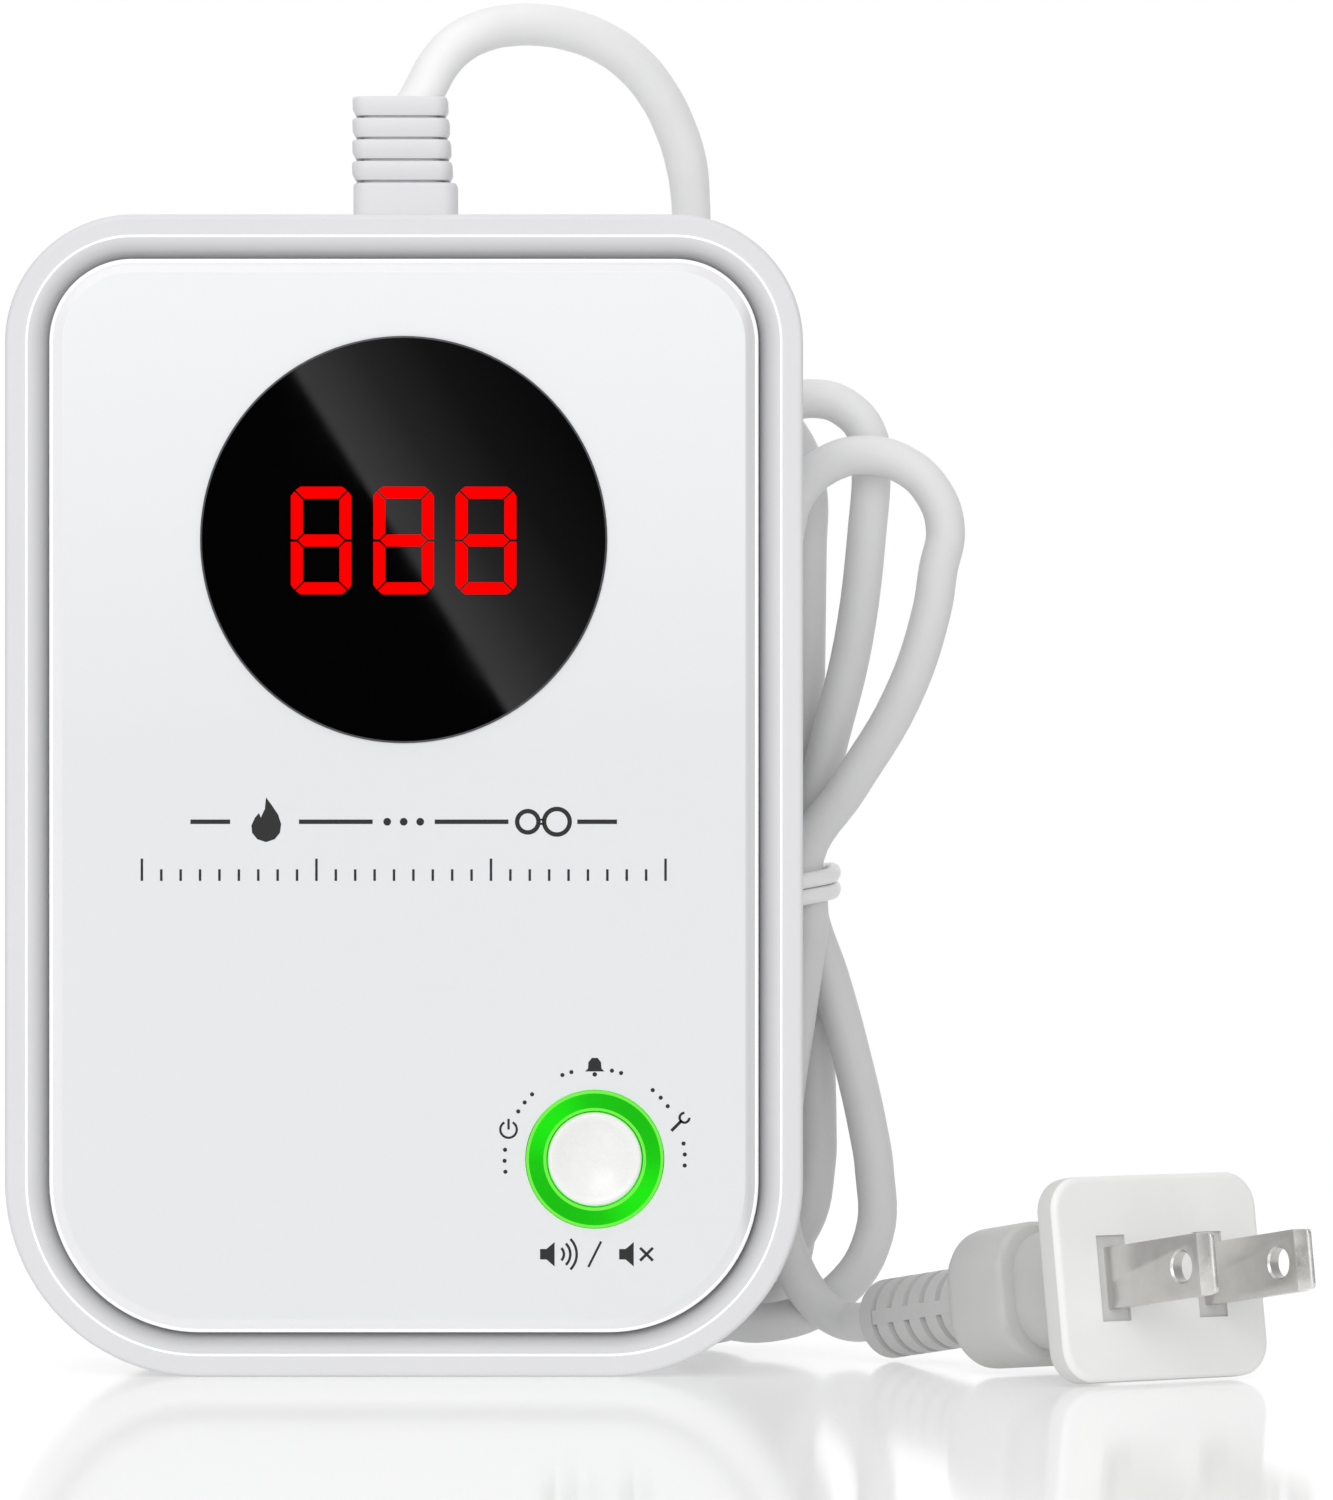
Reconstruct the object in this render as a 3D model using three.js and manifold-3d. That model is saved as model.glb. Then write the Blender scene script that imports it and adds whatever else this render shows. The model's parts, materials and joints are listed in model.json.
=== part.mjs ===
// A plug-in detector for combustible gas and carbon monoxide, in millimetres, +Z up.
// The case stands on its lower edge with its face towards -Y. The origin is under the middle
// of the case. A mains cord leaves the top, is tied in a hank behind the case and ends in a plug.
import * as THREE from "three";
import { mergeVertices } from "three/addons/utils/BufferGeometryUtils.js";
import Module from "manifold-3d";

const wasm = await Module();
wasm.setup();

// Clearances
const REST_GAP = 0.2;
const CUT_GAP = 0.3;

// Case
const CASE = { width: 82.4, height: 120, topRadius: 13.2, bottomRadius: 20.1, wall: 2.2 };
const RIM_FRONT = -17;
const PARTING = { front: 3, back: 3.3 };
const CASE_BACK = 18;
const RIM_ROUND = 1.4;
const BACK_ROUND = 2;
const FACE_FRONT = -18;
const DECK = { front: -15.2, back: -13 };
const POCKET_INSET = 2.4;
const PANEL = { inset: 4.6, front: -17.7, round: 0.5 };
const CORNER_SEGMENTS = 8;

// Display
const LENS = { z: 86.4, radius: 21, back: -16, chamfer: 0.4, clearance: 0.2 };
const LENS_WINDOW_RADIUS = 17;
const ADHESIVE = { inner: 17.5, outer: 20.5, front: -15.8, back: -15.4 };
const DISPLAY = { width: 27, height: 15, front: -15.6 };

// Test button, with the light ring round it
const BUTTON = { x: 19.7, z: 22.5, radius: 4.85, dish: 0.45, edge: 0.35, back: -12.5 };
const BUTTON_FLANGE = { radius: 5.8, front: -13.3 };
const RING = { inner: 5.1, outer: 7.1, back: -13.6, round: 0.3, hole: 7.4 };
const SWITCH = { side: 6, front: -11.5, boreRadius: 2.1, boreEnd: -9.2 };
const PLUNGER = { radius: 1.7, front: -12.2, back: -10.2 };

// Circuit board and its screws
const BOARD = { halfWidth: 28, bottom: 15, top: 107, front: -8.4, back: -6.8 };
const BOARD_SCREWS = [[-24, 19], [24, 38], [-24, 103], [24, 103]];
const POST_RADIUS = 3;
const BOARD_SCREW = { hole: 1.4, shank: 1.1, head: 2.4, headHeight: 1.6, tip: -11.6 };
const COMPONENT_FOOT = BOARD.back + REST_GAP;
const CONNECTOR = { half: 6, bottom: 97, top: 104.5, height: 8 };

// Case screws, in bosses near the corners
const CASE_SCREWS = [[-31.1, 10.1], [31.1, 10.1], [-33, 111.8], [33, 111.8]];
const BOSS_RADIUS = 4;
const CASE_SCREW = { hole: 1.5, shank: 1.2, head: 2.6, headHeight: 2, seat: 8, bore: 2.9, tip: -6 };
const BOSS_HOLE_END = -8;

// Openings in the rear cover
const KEYHOLES = [-22, 22];
const KEYHOLE = { z: 94, radius: 3.6, slotHalf: 1.8, slotLength: 7 };
const SIDE_VENT = { first: 24, pitch: 5, count: 6, height: 1.5, front: 6, back: 14.5 };
const SOUND_SLOT = { x: -12, first: 47, pitch: 4, count: 5, length: 15, width: 1.6 };

// Strain relief on the top of the case
const RELIEF = { x: -0.3, y: 7.7, depth: 8.4, corner: 1.6, blockTop: 124.5, top: 133.6 };
const RELIEF_RIBS = { count: 4, groove: 0.35, lowWidth: 10.8, highWidth: 10.1 };
const RELIEF_BLOCK_WIDTH = 11.2;
const RELIEF_CORE = { width: 8.2, depth: 7, bottom: 111 };
const RELIEF_FLANGE = { bottom: 115.4, top: 117.5 };
const RELIEF_MOUTH = { x: 0.7, radius: 3.2, bottom: 131.6 };

// Cord: round, with the points of its free stretches chosen along its centre line
const CORD_RADIUS = 2.1;
const CORD_SIDES = 10;
const ARCH_POINTS = [
  [0.5, 7.7, 133.2], [3.5, 8.7, 137.5], [7.75, 11.2, 140.7], [13.06, 14.5, 142.1], [20.0, 18.8, 140.4],
  [24.4, 22.3, 137.5], [27.2, 25.3, 133.8], [29.1, 28.3, 128.6], [29.8, 31.4, 121.6], [30.1, 34.2, 113.5],
  [30.3, 35.6, 108.6], [30.4, 35.8, 105.8],
];
const TAIL_POINTS = [
  [50.4, 11.6, 4.28], [49.3, 13.1, 4], [48.1, 14.8, 3.8], [46.8, 17, 3.7],
];
const ARCH_STEPS = 18;
const TAIL_STEPS = 3;

// Hank behind the case: a bow-tie outline pinched by its tie
const HANK = { front: 18.6, back: 41.5, tieFront: 20.5, tieZ: 50.1, waistHalf: 4.5, waistX: 39.7 };
const HANK_TOP = { left: 14, right: 60, z: 105.2, leftRound: 13, rightRound: 11.5, rightZ: 98.5, foot: 80 };
const HANK_BOTTOM = { left: 15, right: 52.5, z: 0.15, round: 14, head: 17 };
const TIE = { thick: 1.7, height: 3.6, notch: 5 };

// Plug, in its own frame: +X towards the blades' tips, +Y across the blades, origin at its face
const PLUG = { x: 77.8, y: -26, z: 10.9, yaw: -53.9, pitch: -8.1 };
const PLATE = { width: 26.8, height: 21, thick: 3.1, corner: 3, round: 0.5 };
const PLUG_BODY = { end: -46.6, reliefEnd: -28, reliefRadius: 4.2, widen: 1.32 };
const BLADE = { width: 6.35, thick: 1.5, spacing: 12.7, length: 16.4, root: -11, hole: 1.55, holeAt: 11.9 };
const RELIEF_SLOT = { count: 5, pitch: 2.8, first: -43.6, width: 0.9, depth: 0.7 };

const degrees = THREE.MathUtils.degToRad;

// A material with its colour, roughness and metalness
function finish(color, roughness, metalness = 0) {
  return new THREE.MeshStandardMaterial({ color, roughness, metalness });
}

const WHITE_ABS = finish("#e9eaec", 0.4);
const GREY_ABS = finish("#e2e3e6", 0.45);
const SMOKED_ACRYLIC = finish("#07080a", 0.08);
const GREEN_ACRYLIC = finish("#18d400", 0.3);
const FOAM_TAPE = finish("#26282a", 0.8);
const CORD_PVC = finish("#e4e4e4", 0.5);
const NICKEL = finish("#c9c9c7", 0.25, 1);
const SCREW_STEEL = finish("#9ea2a5", 0.35, 1);
const BOARD_GREEN = finish("#1e5b35", 0.5);
const BLACK_PLASTIC = finish("#161719", 0.5);
const FERRITE = finish("#3a3b3f", 0.7);
const YELLOW_TAPE = finish("#d8b43a", 0.6);
const CAN_ALUMINIUM = finish("#b9bcc0", 0.3, 1);
const BLUE_EPOXY = finish("#2c56a8", 0.4);
const CLEAR_EPOXY = finish("#e8ecd8", 0.2);
const BROWN_LEAD = finish("#5d3a22", 0.5);
const BLUE_LEAD = finish("#2d62b8", 0.5);

// The manifold-3d solid of a closed geometry
function solid(geometry) {
  const bare = geometry.clone();
  bare.deleteAttribute("normal");
  bare.deleteAttribute("uv");
  const merged = mergeVertices(bare, 1e-4);
  const vertProperties = new Float32Array(merged.attributes.position.array);
  const triVerts = new Uint32Array(merged.index.array);
  return new wasm.Manifold(new wasm.Mesh({ numProp: 3, vertProperties, triVerts }));
}

// The geometry of a manifold-3d solid
function geometryOf(made) {
  const { vertProperties, triVerts } = made.getMesh();
  const geometry = new THREE.BufferGeometry();
  geometry.setAttribute("position", new THREE.BufferAttribute(vertProperties, 3));
  geometry.setIndex(new THREE.BufferAttribute(triVerts, 1));
  return geometry;
}

// One geometry with more joined to it, and then others cut out of it
function carve(base, joined, cut) {
  let made = solid(base);
  for (const geometry of joined) made = made.add(solid(geometry));
  for (const geometry of cut) made = made.subtract(solid(geometry));
  return geometryOf(made);
}

function mesh(name, geometry, material) {
  const made = new THREE.Mesh(geometry, material);
  made.name = name;
  return made;
}

function block(x0, x1, y0, y1, z0, z1) {
  const geometry = new THREE.BoxGeometry(x1 - x0, y1 - y0, z1 - z0);
  return geometry.translate((x0 + x1) / 2, (y0 + y1) / 2, (z0 + z1) / 2);
}

// A round bar along Y
function bar(radius, x, z, front, back, sides = 20) {
  const geometry = new THREE.CylinderGeometry(radius, radius, back - front, sides);
  return geometry.translate(x, (front + back) / 2, z);
}

// A shape drawn in X and Z, made solid from the front to the back, its ends rounded by round
function slab(shape, front, back, round = 0, roundSteps = 3) {
  const geometry = new THREE.ExtrudeGeometry(shape, {
    depth: back - front - 2 * round,
    bevelEnabled: round > 0,
    bevelSize: round,
    bevelThickness: round,
    bevelOffset: -round,
    bevelSegments: roundSteps,
    curveSegments: CORNER_SEGMENTS,
  });
  return geometry.rotateX(Math.PI / 2).translate(0, back - round, 0);
}

// A profile of [radius, y] points turned about a Y axis through x and z
function turned(profile, x, z, sides) {
  const points = profile.map(([radius, y]) => new THREE.Vector2(radius, y));
  return new THREE.LatheGeometry(points, sides).translate(x, 0, z);
}

// A rectangle with one radius for its upper corners and one for its lower corners
function roundedShape(left, right, bottom, top, topRadius, bottomRadius) {
  const shape = new THREE.Shape();
  shape.moveTo(left + bottomRadius, bottom);
  shape.absarc(right - bottomRadius, bottom + bottomRadius, bottomRadius, -Math.PI / 2, 0);
  shape.absarc(right - topRadius, top - topRadius, topRadius, 0, Math.PI / 2);
  shape.absarc(left + topRadius, top - topRadius, topRadius, Math.PI / 2, Math.PI);
  shape.absarc(left + bottomRadius, bottom + bottomRadius, bottomRadius, Math.PI, 1.5 * Math.PI);
  return shape;
}

// The outline of the case, moved inwards
function caseShape(inset) {
  const half = CASE.width / 2 - inset;
  const top = CASE.height - inset;
  return roundedShape(-half, half, inset, top, CASE.topRadius - inset, CASE.bottomRadius - inset);
}

function holeAt(shape, x, z, radius) {
  const hole = new THREE.Path();
  hole.absarc(x, z, radius, 0, 2 * Math.PI, true);
  shape.holes.push(hole);
}

function frontCover() {
  const past = PARTING.front + 3;
  const joined = [];
  const cut = [
    block(-CASE.width, CASE.width, PARTING.front, past + 1, -1, CASE.height + 1),
    slab(caseShape(POCKET_INSET), RIM_FRONT - 1, DECK.front),
    bar(LENS_WINDOW_RADIUS, 0, LENS.z, DECK.front - 1, DECK.back + 1, 32),
    bar(RING.hole, BUTTON.x, BUTTON.z, DECK.front - 1, DECK.back + 1, 24),
  ];
  const shell = slab(caseShape(0), RIM_FRONT, past, RIM_ROUND);
  const hollow = slab(caseShape(CASE.wall), DECK.back, past + 1);
  for (const [x, z] of CASE_SCREWS) {
    joined.push(bar(BOSS_RADIUS, x, z, DECK.back - 0.5, PARTING.front, 16));
    cut.push(bar(CASE_SCREW.hole, x, z, BOSS_HOLE_END, past, 12));
  }
  for (const [x, z] of BOARD_SCREWS) {
    joined.push(bar(POST_RADIUS, x, z, DECK.back - 0.5, BOARD.front - REST_GAP, 14));
    cut.push(bar(BOARD_SCREW.hole, x, z, DECK.back + 0.5, 0, 10));
  }
  const tray = carve(shell, [], [hollow]);
  return mesh("front_cover", carve(tray, joined, cut), WHITE_ABS);
}

function keyhole(x) {
  const top = KEYHOLE.z + KEYHOLE.slotLength;
  const round = bar(KEYHOLE.radius, x, KEYHOLE.z, CASE_BACK - CASE.wall - 1, CASE_BACK + 1, 20);
  const slot = block(x - KEYHOLE.slotHalf, x + KEYHOLE.slotHalf, CASE_BACK - CASE.wall - 1,
    CASE_BACK + 1, KEYHOLE.z, top);
  return carve(round, [slot], []);
}

function sideVents() {
  const cuts = [];
  const reach = CASE.width / 2 + 1;
  for (let i = 0; i < SIDE_VENT.count; i += 1) {
    const low = SIDE_VENT.first + i * SIDE_VENT.pitch;
    cuts.push(block(-reach, reach, SIDE_VENT.front, SIDE_VENT.back, low, low + SIDE_VENT.height));
  }
  return cuts;
}

function soundSlots() {
  const cuts = [];
  const left = SOUND_SLOT.x - SOUND_SLOT.length / 2;
  for (let i = 0; i < SOUND_SLOT.count; i += 1) {
    const low = SOUND_SLOT.first + i * SOUND_SLOT.pitch;
    cuts.push(block(left, left + SOUND_SLOT.length, CASE_BACK - CASE.wall - 1, CASE_BACK + 1,
      low, low + SOUND_SLOT.width));
  }
  return cuts;
}

function rearCover() {
  const past = PARTING.back - 4;
  const shell = slab(caseShape(0), past, CASE_BACK, BACK_ROUND);
  const hollow = slab(caseShape(CASE.wall), past - 1, CASE_BACK - CASE.wall);
  const neckHalf = RELIEF_CORE.width / 2 + CUT_GAP;
  const neckBack = RELIEF.y + RELIEF_CORE.depth / 2 + CUT_GAP;
  const joined = [];
  const cut = [
    block(-CASE.width, CASE.width, past - 1, PARTING.back, -1, CASE.height + 1),
    block(RELIEF.x - neckHalf, RELIEF.x + neckHalf, past, neckBack, RELIEF_FLANGE.top, CASE.height + 1),
    ...KEYHOLES.map(keyhole),
    ...soundSlots(),
  ];
  for (const [x, z] of CASE_SCREWS) {
    joined.push(bar(BOSS_RADIUS, x, z, PARTING.back, CASE_BACK - 0.5, 16));
    cut.push(bar(CASE_SCREW.bore, x, z, CASE_SCREW.seat, CASE_BACK + 1, 16));
    cut.push(bar(CASE_SCREW.hole, x, z, past, CASE_SCREW.seat + 1, 12));
  }
  const tray = carve(shell, [], [hollow, ...sideVents()]);
  return mesh("rear_cover", carve(tray, joined, cut), GREY_ABS);
}

function facePanel() {
  const back = DECK.front - REST_GAP;
  const plate = slab(caseShape(PANEL.inset), PANEL.front, back, PANEL.round, 2);
  const holes = [
    bar(LENS.radius + LENS.clearance, 0, LENS.z, PANEL.front - 1, back + 1, 48),
    bar(RING.outer + LENS.clearance, BUTTON.x, BUTTON.z, PANEL.front - 1, back + 1, 40),
  ];
  return mesh("face_panel", carve(plate, [], holes), WHITE_ABS);
}

function displayLens() {
  const profile = [
    [0, LENS.back], [LENS.radius, LENS.back], [LENS.radius, FACE_FRONT + LENS.chamfer],
    [LENS.radius - LENS.chamfer, FACE_FRONT], [0, FACE_FRONT],
  ];
  return mesh("display_lens", turned(profile.reverse(), 0, LENS.z, 48), SMOKED_ACRYLIC);
}

function ringProfile(inner, outer, front, back, round) {
  return [
    [inner, back], [inner, front + round], [inner + round, front], [outer - round, front],
    [outer, front + round], [outer, back], [inner, back],
  ];
}

function adhesiveRing() {
  const { inner, outer, front, back } = ADHESIVE;
  const profile = ringProfile(inner, outer, front, back, 0.1);
  return mesh("lens_adhesive_ring", turned(profile, 0, LENS.z, 24), FOAM_TAPE);
}

function displayPackage() {
  const halfWidth = DISPLAY.width / 2;
  const halfHeight = DISPLAY.height / 2;
  const shape = roundedShape(-halfWidth, halfWidth, LENS.z - halfHeight, LENS.z + halfHeight, 0.6, 0.6);
  const geometry = slab(shape, DISPLAY.front, BOARD.front - REST_GAP);
  return mesh("display_package", geometry, BLACK_PLASTIC);
}

function lightRing() {
  const profile = ringProfile(RING.inner, RING.outer, FACE_FRONT, RING.back, RING.round);
  return mesh("light_guide_ring", turned(profile, BUTTON.x, BUTTON.z, 40), GREEN_ACRYLIC);
}

function testButton() {
  const { radius, dish, edge, back } = BUTTON;
  const profile = [
    [0, FACE_FRONT + dish], [radius * 0.5, FACE_FRONT + dish * 0.7], [radius - edge, FACE_FRONT],
    [radius, FACE_FRONT + edge], [radius, BUTTON_FLANGE.front], [BUTTON_FLANGE.radius, BUTTON_FLANGE.front],
    [BUTTON_FLANGE.radius, back], [0, back],
  ];
  const cap = mesh("test_button_cap", turned(profile, BUTTON.x, BUTTON.z, 36), WHITE_ABS);
  const pin = bar(PLUNGER.radius, BUTTON.x, BUTTON.z, PLUNGER.front, PLUNGER.back, 16);
  return [cap, mesh("switch_plunger", pin, BLACK_PLASTIC)];
}

function switchBody() {
  const half = SWITCH.side / 2;
  const base = block(BUTTON.x - half, BUTTON.x + half, SWITCH.front, BOARD.front - REST_GAP,
    BUTTON.z - half, BUTTON.z + half);
  const bore = bar(SWITCH.boreRadius, BUTTON.x, BUTTON.z, SWITCH.front - 1, SWITCH.boreEnd, 16);
  return mesh("switch_body", carve(base, [], [bore]), BLACK_PLASTIC);
}

// Three lights on the board, evenly round the back of the light ring
function statusLights() {
  const turn = 7;
  const half = 1.4;
  return ["green", "red", "yellow"].map((colour, i) => {
    const angle = Math.PI / 2 + (i * 2 * Math.PI) / 3;
    const x = BUTTON.x + turn * Math.cos(angle);
    const z = BUTTON.z + turn * Math.sin(angle);
    const geometry = block(x - half, x + half, BOARD.front - 2, BOARD.front - REST_GAP, z - half, z + half);
    return mesh("status_light_" + colour, geometry, CLEAR_EPOXY);
  });
}

function circuitBoard() {
  const { halfWidth, bottom, top, front, back } = BOARD;
  const shape = roundedShape(-halfWidth, halfWidth, bottom, top, 2, 2);
  for (const [x, z] of BOARD_SCREWS) holeAt(shape, x, z, BOARD_SCREW.hole);
  return mesh("main_board", slab(shape, front, back), BOARD_GREEN);
}

// A pan-head screw along Y, its head at the back
function screw(name, [x, z], size, headFront) {
  const headBack = headFront + size.headHeight;
  const profile = [
    [0, size.tip], [size.shank * 0.6, size.tip], [size.shank, size.tip + 1], [size.shank, headFront],
    [size.head, headFront], [size.head, headBack - 0.6], [size.head - 0.6, headBack], [0, headBack],
  ];
  return mesh(name, turned(profile, x, z, 12), SCREW_STEEL);
}

function screws() {
  const boardScrews = BOARD_SCREWS.map((at, i) =>
    screw("board_screw_" + (i + 1), at, BOARD_SCREW, COMPONENT_FOOT));
  const caseScrews = CASE_SCREWS.map((at, i) =>
    screw("case_screw_" + (i + 1), at, CASE_SCREW, CASE_SCREW.seat + CUT_GAP));
  return [...boardScrews, ...caseScrews];
}

// A ferrite core with two windows, and the coil round its middle leg
function transformer() {
  const at = { z: 80, halfWidth: 11, halfHeight: 9, front: -3.2, back: 7.8 };
  const window = { inner: 3.5, outer: 7.5, halfHeight: 5.5 };
  const coil = { halfWidth: 7.2, front: -6.4, back: 11, halfHeight: 5.3 };
  const windows = [-1, 1].map((side) => {
    const near = side * window.inner;
    const far = side * window.outer;
    return block(Math.min(near, far), Math.max(near, far), at.front - 1, at.back + 1,
      at.z - window.halfHeight, at.z + window.halfHeight);
  });
  const base = block(-at.halfWidth, at.halfWidth, at.front, at.back,
    at.z - at.halfHeight, at.z + at.halfHeight);
  const core = mesh("transformer_core", carve(base, [], windows), FERRITE);
  const wound = block(-coil.halfWidth, coil.halfWidth, coil.front, coil.back,
    at.z - coil.halfHeight, at.z + coil.halfHeight);
  const legHole = window.inner + CUT_GAP;
  const leg = block(-legHole, legHole, at.front - CUT_GAP, at.back + CUT_GAP,
    at.z - at.halfHeight, at.z + at.halfHeight);
  return [core, mesh("transformer_winding", carve(wound, [], [leg]), YELLOW_TAPE)];
}

// An electrolytic capacitor, crimped near its foot
function capacitor(name, x, z, radius, height) {
  const foot = COMPONENT_FOOT;
  const profile = [
    [0, foot], [radius, foot], [radius, foot + 1.2], [radius * 0.9, foot + 1.8], [radius, foot + 2.4],
    [radius, foot + height - 0.5], [radius - 0.5, foot + height], [0, foot + height],
  ];
  return mesh(name, turned(profile, x, z, 20), CAN_ALUMINIUM);
}

function powerParts() {
  const foot = COMPONENT_FOOT;
  const fuse = new THREE.CylinderGeometry(2.6, 2.6, 17, 16).rotateZ(Math.PI / 2);
  const absorber = new THREE.CylinderGeometry(4.5, 4.5, 4, 20).rotateZ(Math.PI / 2);
  const { half, bottom, top, height } = CONNECTOR;
  const connector = carve(block(-half, half, foot, foot + height, bottom, top), [], [
    block(-4.8, -0.6, foot + 5.5, foot + height + 1, bottom + 1.5, top - 1.5),
    block(0.6, 4.8, foot + 5.5, foot + height + 1, bottom + 1.5, top - 1.5),
  ]);
  return [
    mesh("mains_connector", connector, GREY_ABS),
    mesh("fuse", fuse.translate(-17, foot + 2.7, 96.5), CLEAR_EPOXY),
    mesh("surge_absorber", absorber.translate(14, foot + 4.7, 98), BLUE_EPOXY),
    capacitor("bulk_capacitor", -20, 84, 5, 16),
    capacitor("output_capacitor", 19, 82, 4, 12),
  ];
}

function sensorParts() {
  const foot = COMPONENT_FOOT;
  const cell = [
    [0, foot], [9, foot], [9, foot + 13.6], [8.4, foot + 14.2], [3, foot + 14.2],
    [2.6, foot + 13.4], [0, foot + 13.4],
  ];
  const base = [[0, foot], [8.5, foot], [8.5, foot + 3.4], [7.9, foot + 4], [0, foot + 4]];
  const capFoot = foot + 4 + REST_GAP;
  const cap = [[0, capFoot], [7.2, capFoot], [7.2, capFoot + 7], [5.6, capFoot + 8.6], [0, capFoot + 9]];
  const horn = [
    [0, foot], [11.5, foot], [11.5, foot + 9.4], [10.9, foot + 10], [2.2, foot + 10],
    [2.2, foot + 8], [0, foot + 8],
  ];
  return [
    mesh("co_sensor_can", turned(cell, -13.5, 31, 28), CAN_ALUMINIUM),
    mesh("gas_sensor_base", turned(base, 13, 30, 24), BLACK_PLASTIC),
    mesh("gas_sensor_mesh_cap", turned(cap, 13, 30, 24), CAN_ALUMINIUM),
    mesh("buzzer_case", turned(horn, -12, 55, 28), BLACK_PLASTIC),
    mesh("controller_chip", block(9.5, 18.5, foot, foot + 1.4, 50.5, 59.5), BLACK_PLASTIC),
  ];
}

// A round tube along a smooth curve through points
function tube(points, radius, sides, steps) {
  const section = new THREE.Shape();
  section.absarc(0, 0, radius, 0, 2 * Math.PI);
  const extrudePath = new THREE.CatmullRomCurve3(points.map((point) => new THREE.Vector3(...point)));
  return new THREE.ExtrudeGeometry(section, { steps, curveSegments: sides, extrudePath });
}

function innerLeads() {
  const start = RELIEF_CORE.bottom - CUT_GAP;
  const end = CONNECTOR.top + CUT_GAP;
  return [["lead_live", -1, BROWN_LEAD], ["lead_neutral", 1, BLUE_LEAD]].map(([name, side, material]) => {
    const route = [
      [RELIEF.x + side * 1.5, RELIEF.y, start], [RELIEF.x + side * 1.5, RELIEF.y, start - 1],
      [side * 2.1, 4.5, start - 3], [side * 2.6, 0.5, end + 1.8], [side * 2.7, -1.2, end + 0.8],
      [side * 2.7, -1.2, end],
    ];
    return mesh(name, tube(route, 0.9, 8, 12), material);
  });
}

// A rounded block round the strain relief's axis, from one height to another
function reliefBlock(width, depth, bottom, top) {
  const corner = Math.min(RELIEF.corner, depth / 3);
  const shape = roundedShape(-width / 2, width / 2, -depth / 2, depth / 2, corner, corner);
  const geometry = new THREE.ExtrudeGeometry(shape, {
    depth: top - bottom, bevelEnabled: false, curveSegments: 2,
  });
  return geometry.translate(RELIEF.x, RELIEF.y, bottom);
}

function strainRelief() {
  const core = reliefBlock(RELIEF_CORE.width, RELIEF_CORE.depth, RELIEF_CORE.bottom, RELIEF.top - 0.2);
  const joined = [
    reliefBlock(RELIEF_BLOCK_WIDTH, RELIEF.depth, CASE.height + REST_GAP, RELIEF.blockTop),
    reliefBlock(RELIEF_BLOCK_WIDTH, RELIEF.depth, RELIEF_FLANGE.bottom, RELIEF_FLANGE.top),
  ];
  const pitch = (RELIEF.top - RELIEF.blockTop) / RELIEF_RIBS.count;
  for (let i = 0; i < RELIEF_RIBS.count; i += 1) {
    const share = i / (RELIEF_RIBS.count - 1);
    const width = THREE.MathUtils.lerp(RELIEF_RIBS.lowWidth, RELIEF_RIBS.highWidth, share);
    const low = RELIEF.blockTop + i * pitch + RELIEF_RIBS.groove;
    joined.push(reliefBlock(width, RELIEF.depth - 0.3 * share, low, RELIEF.blockTop + (i + 1) * pitch));
  }
  const depth = RELIEF.top + 1 - RELIEF_MOUTH.bottom;
  const mouth = new THREE.CylinderGeometry(RELIEF_MOUTH.radius, RELIEF_MOUTH.radius, depth, 16);
  mouth.rotateX(Math.PI / 2).translate(RELIEF_MOUTH.x, RELIEF.y, RELIEF_MOUTH.bottom + depth / 2);
  return mesh("inlet_strain_relief", carve(core, joined, [mouth]), WHITE_ABS);
}

// The bow-tie outline of the hank: wide at its upper and lower loops, narrow at the tie
function hankShape() {
  const waistLeft = HANK.waistX - HANK.waistHalf;
  const waistRight = HANK.waistX + HANK.waistHalf;
  const low = HANK.tieZ - TIE.notch;
  const high = HANK.tieZ + TIE.notch;
  const { left, right, z: top, leftRound, rightRound, rightZ, foot } = HANK_TOP;
  const shape = new THREE.Shape();
  shape.moveTo(waistLeft, low);
  shape.lineTo(HANK_BOTTOM.left, HANK_BOTTOM.z + HANK_BOTTOM.head);
  shape.absarc(HANK_BOTTOM.left + HANK_BOTTOM.round, HANK_BOTTOM.z + HANK_BOTTOM.round,
    HANK_BOTTOM.round, Math.PI, 1.5 * Math.PI);
  shape.absarc(HANK_BOTTOM.right - HANK_BOTTOM.round, HANK_BOTTOM.z + HANK_BOTTOM.round,
    HANK_BOTTOM.round, -Math.PI / 2, 0);
  shape.lineTo(HANK_BOTTOM.right, HANK_BOTTOM.z + HANK_BOTTOM.head);
  shape.lineTo(waistRight, low);
  shape.lineTo(waistRight, high);
  shape.lineTo(right, foot);
  shape.absarc(right - rightRound, rightZ - rightRound, rightRound, 0, Math.PI / 3);
  shape.lineTo(right - 1.5 * rightRound, top);
  shape.absarc(left + leftRound, top - leftRound, leftRound, Math.PI / 2, Math.PI);
  shape.lineTo(left, foot);
  shape.lineTo(waistLeft, high);
  return shape;
}

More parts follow.
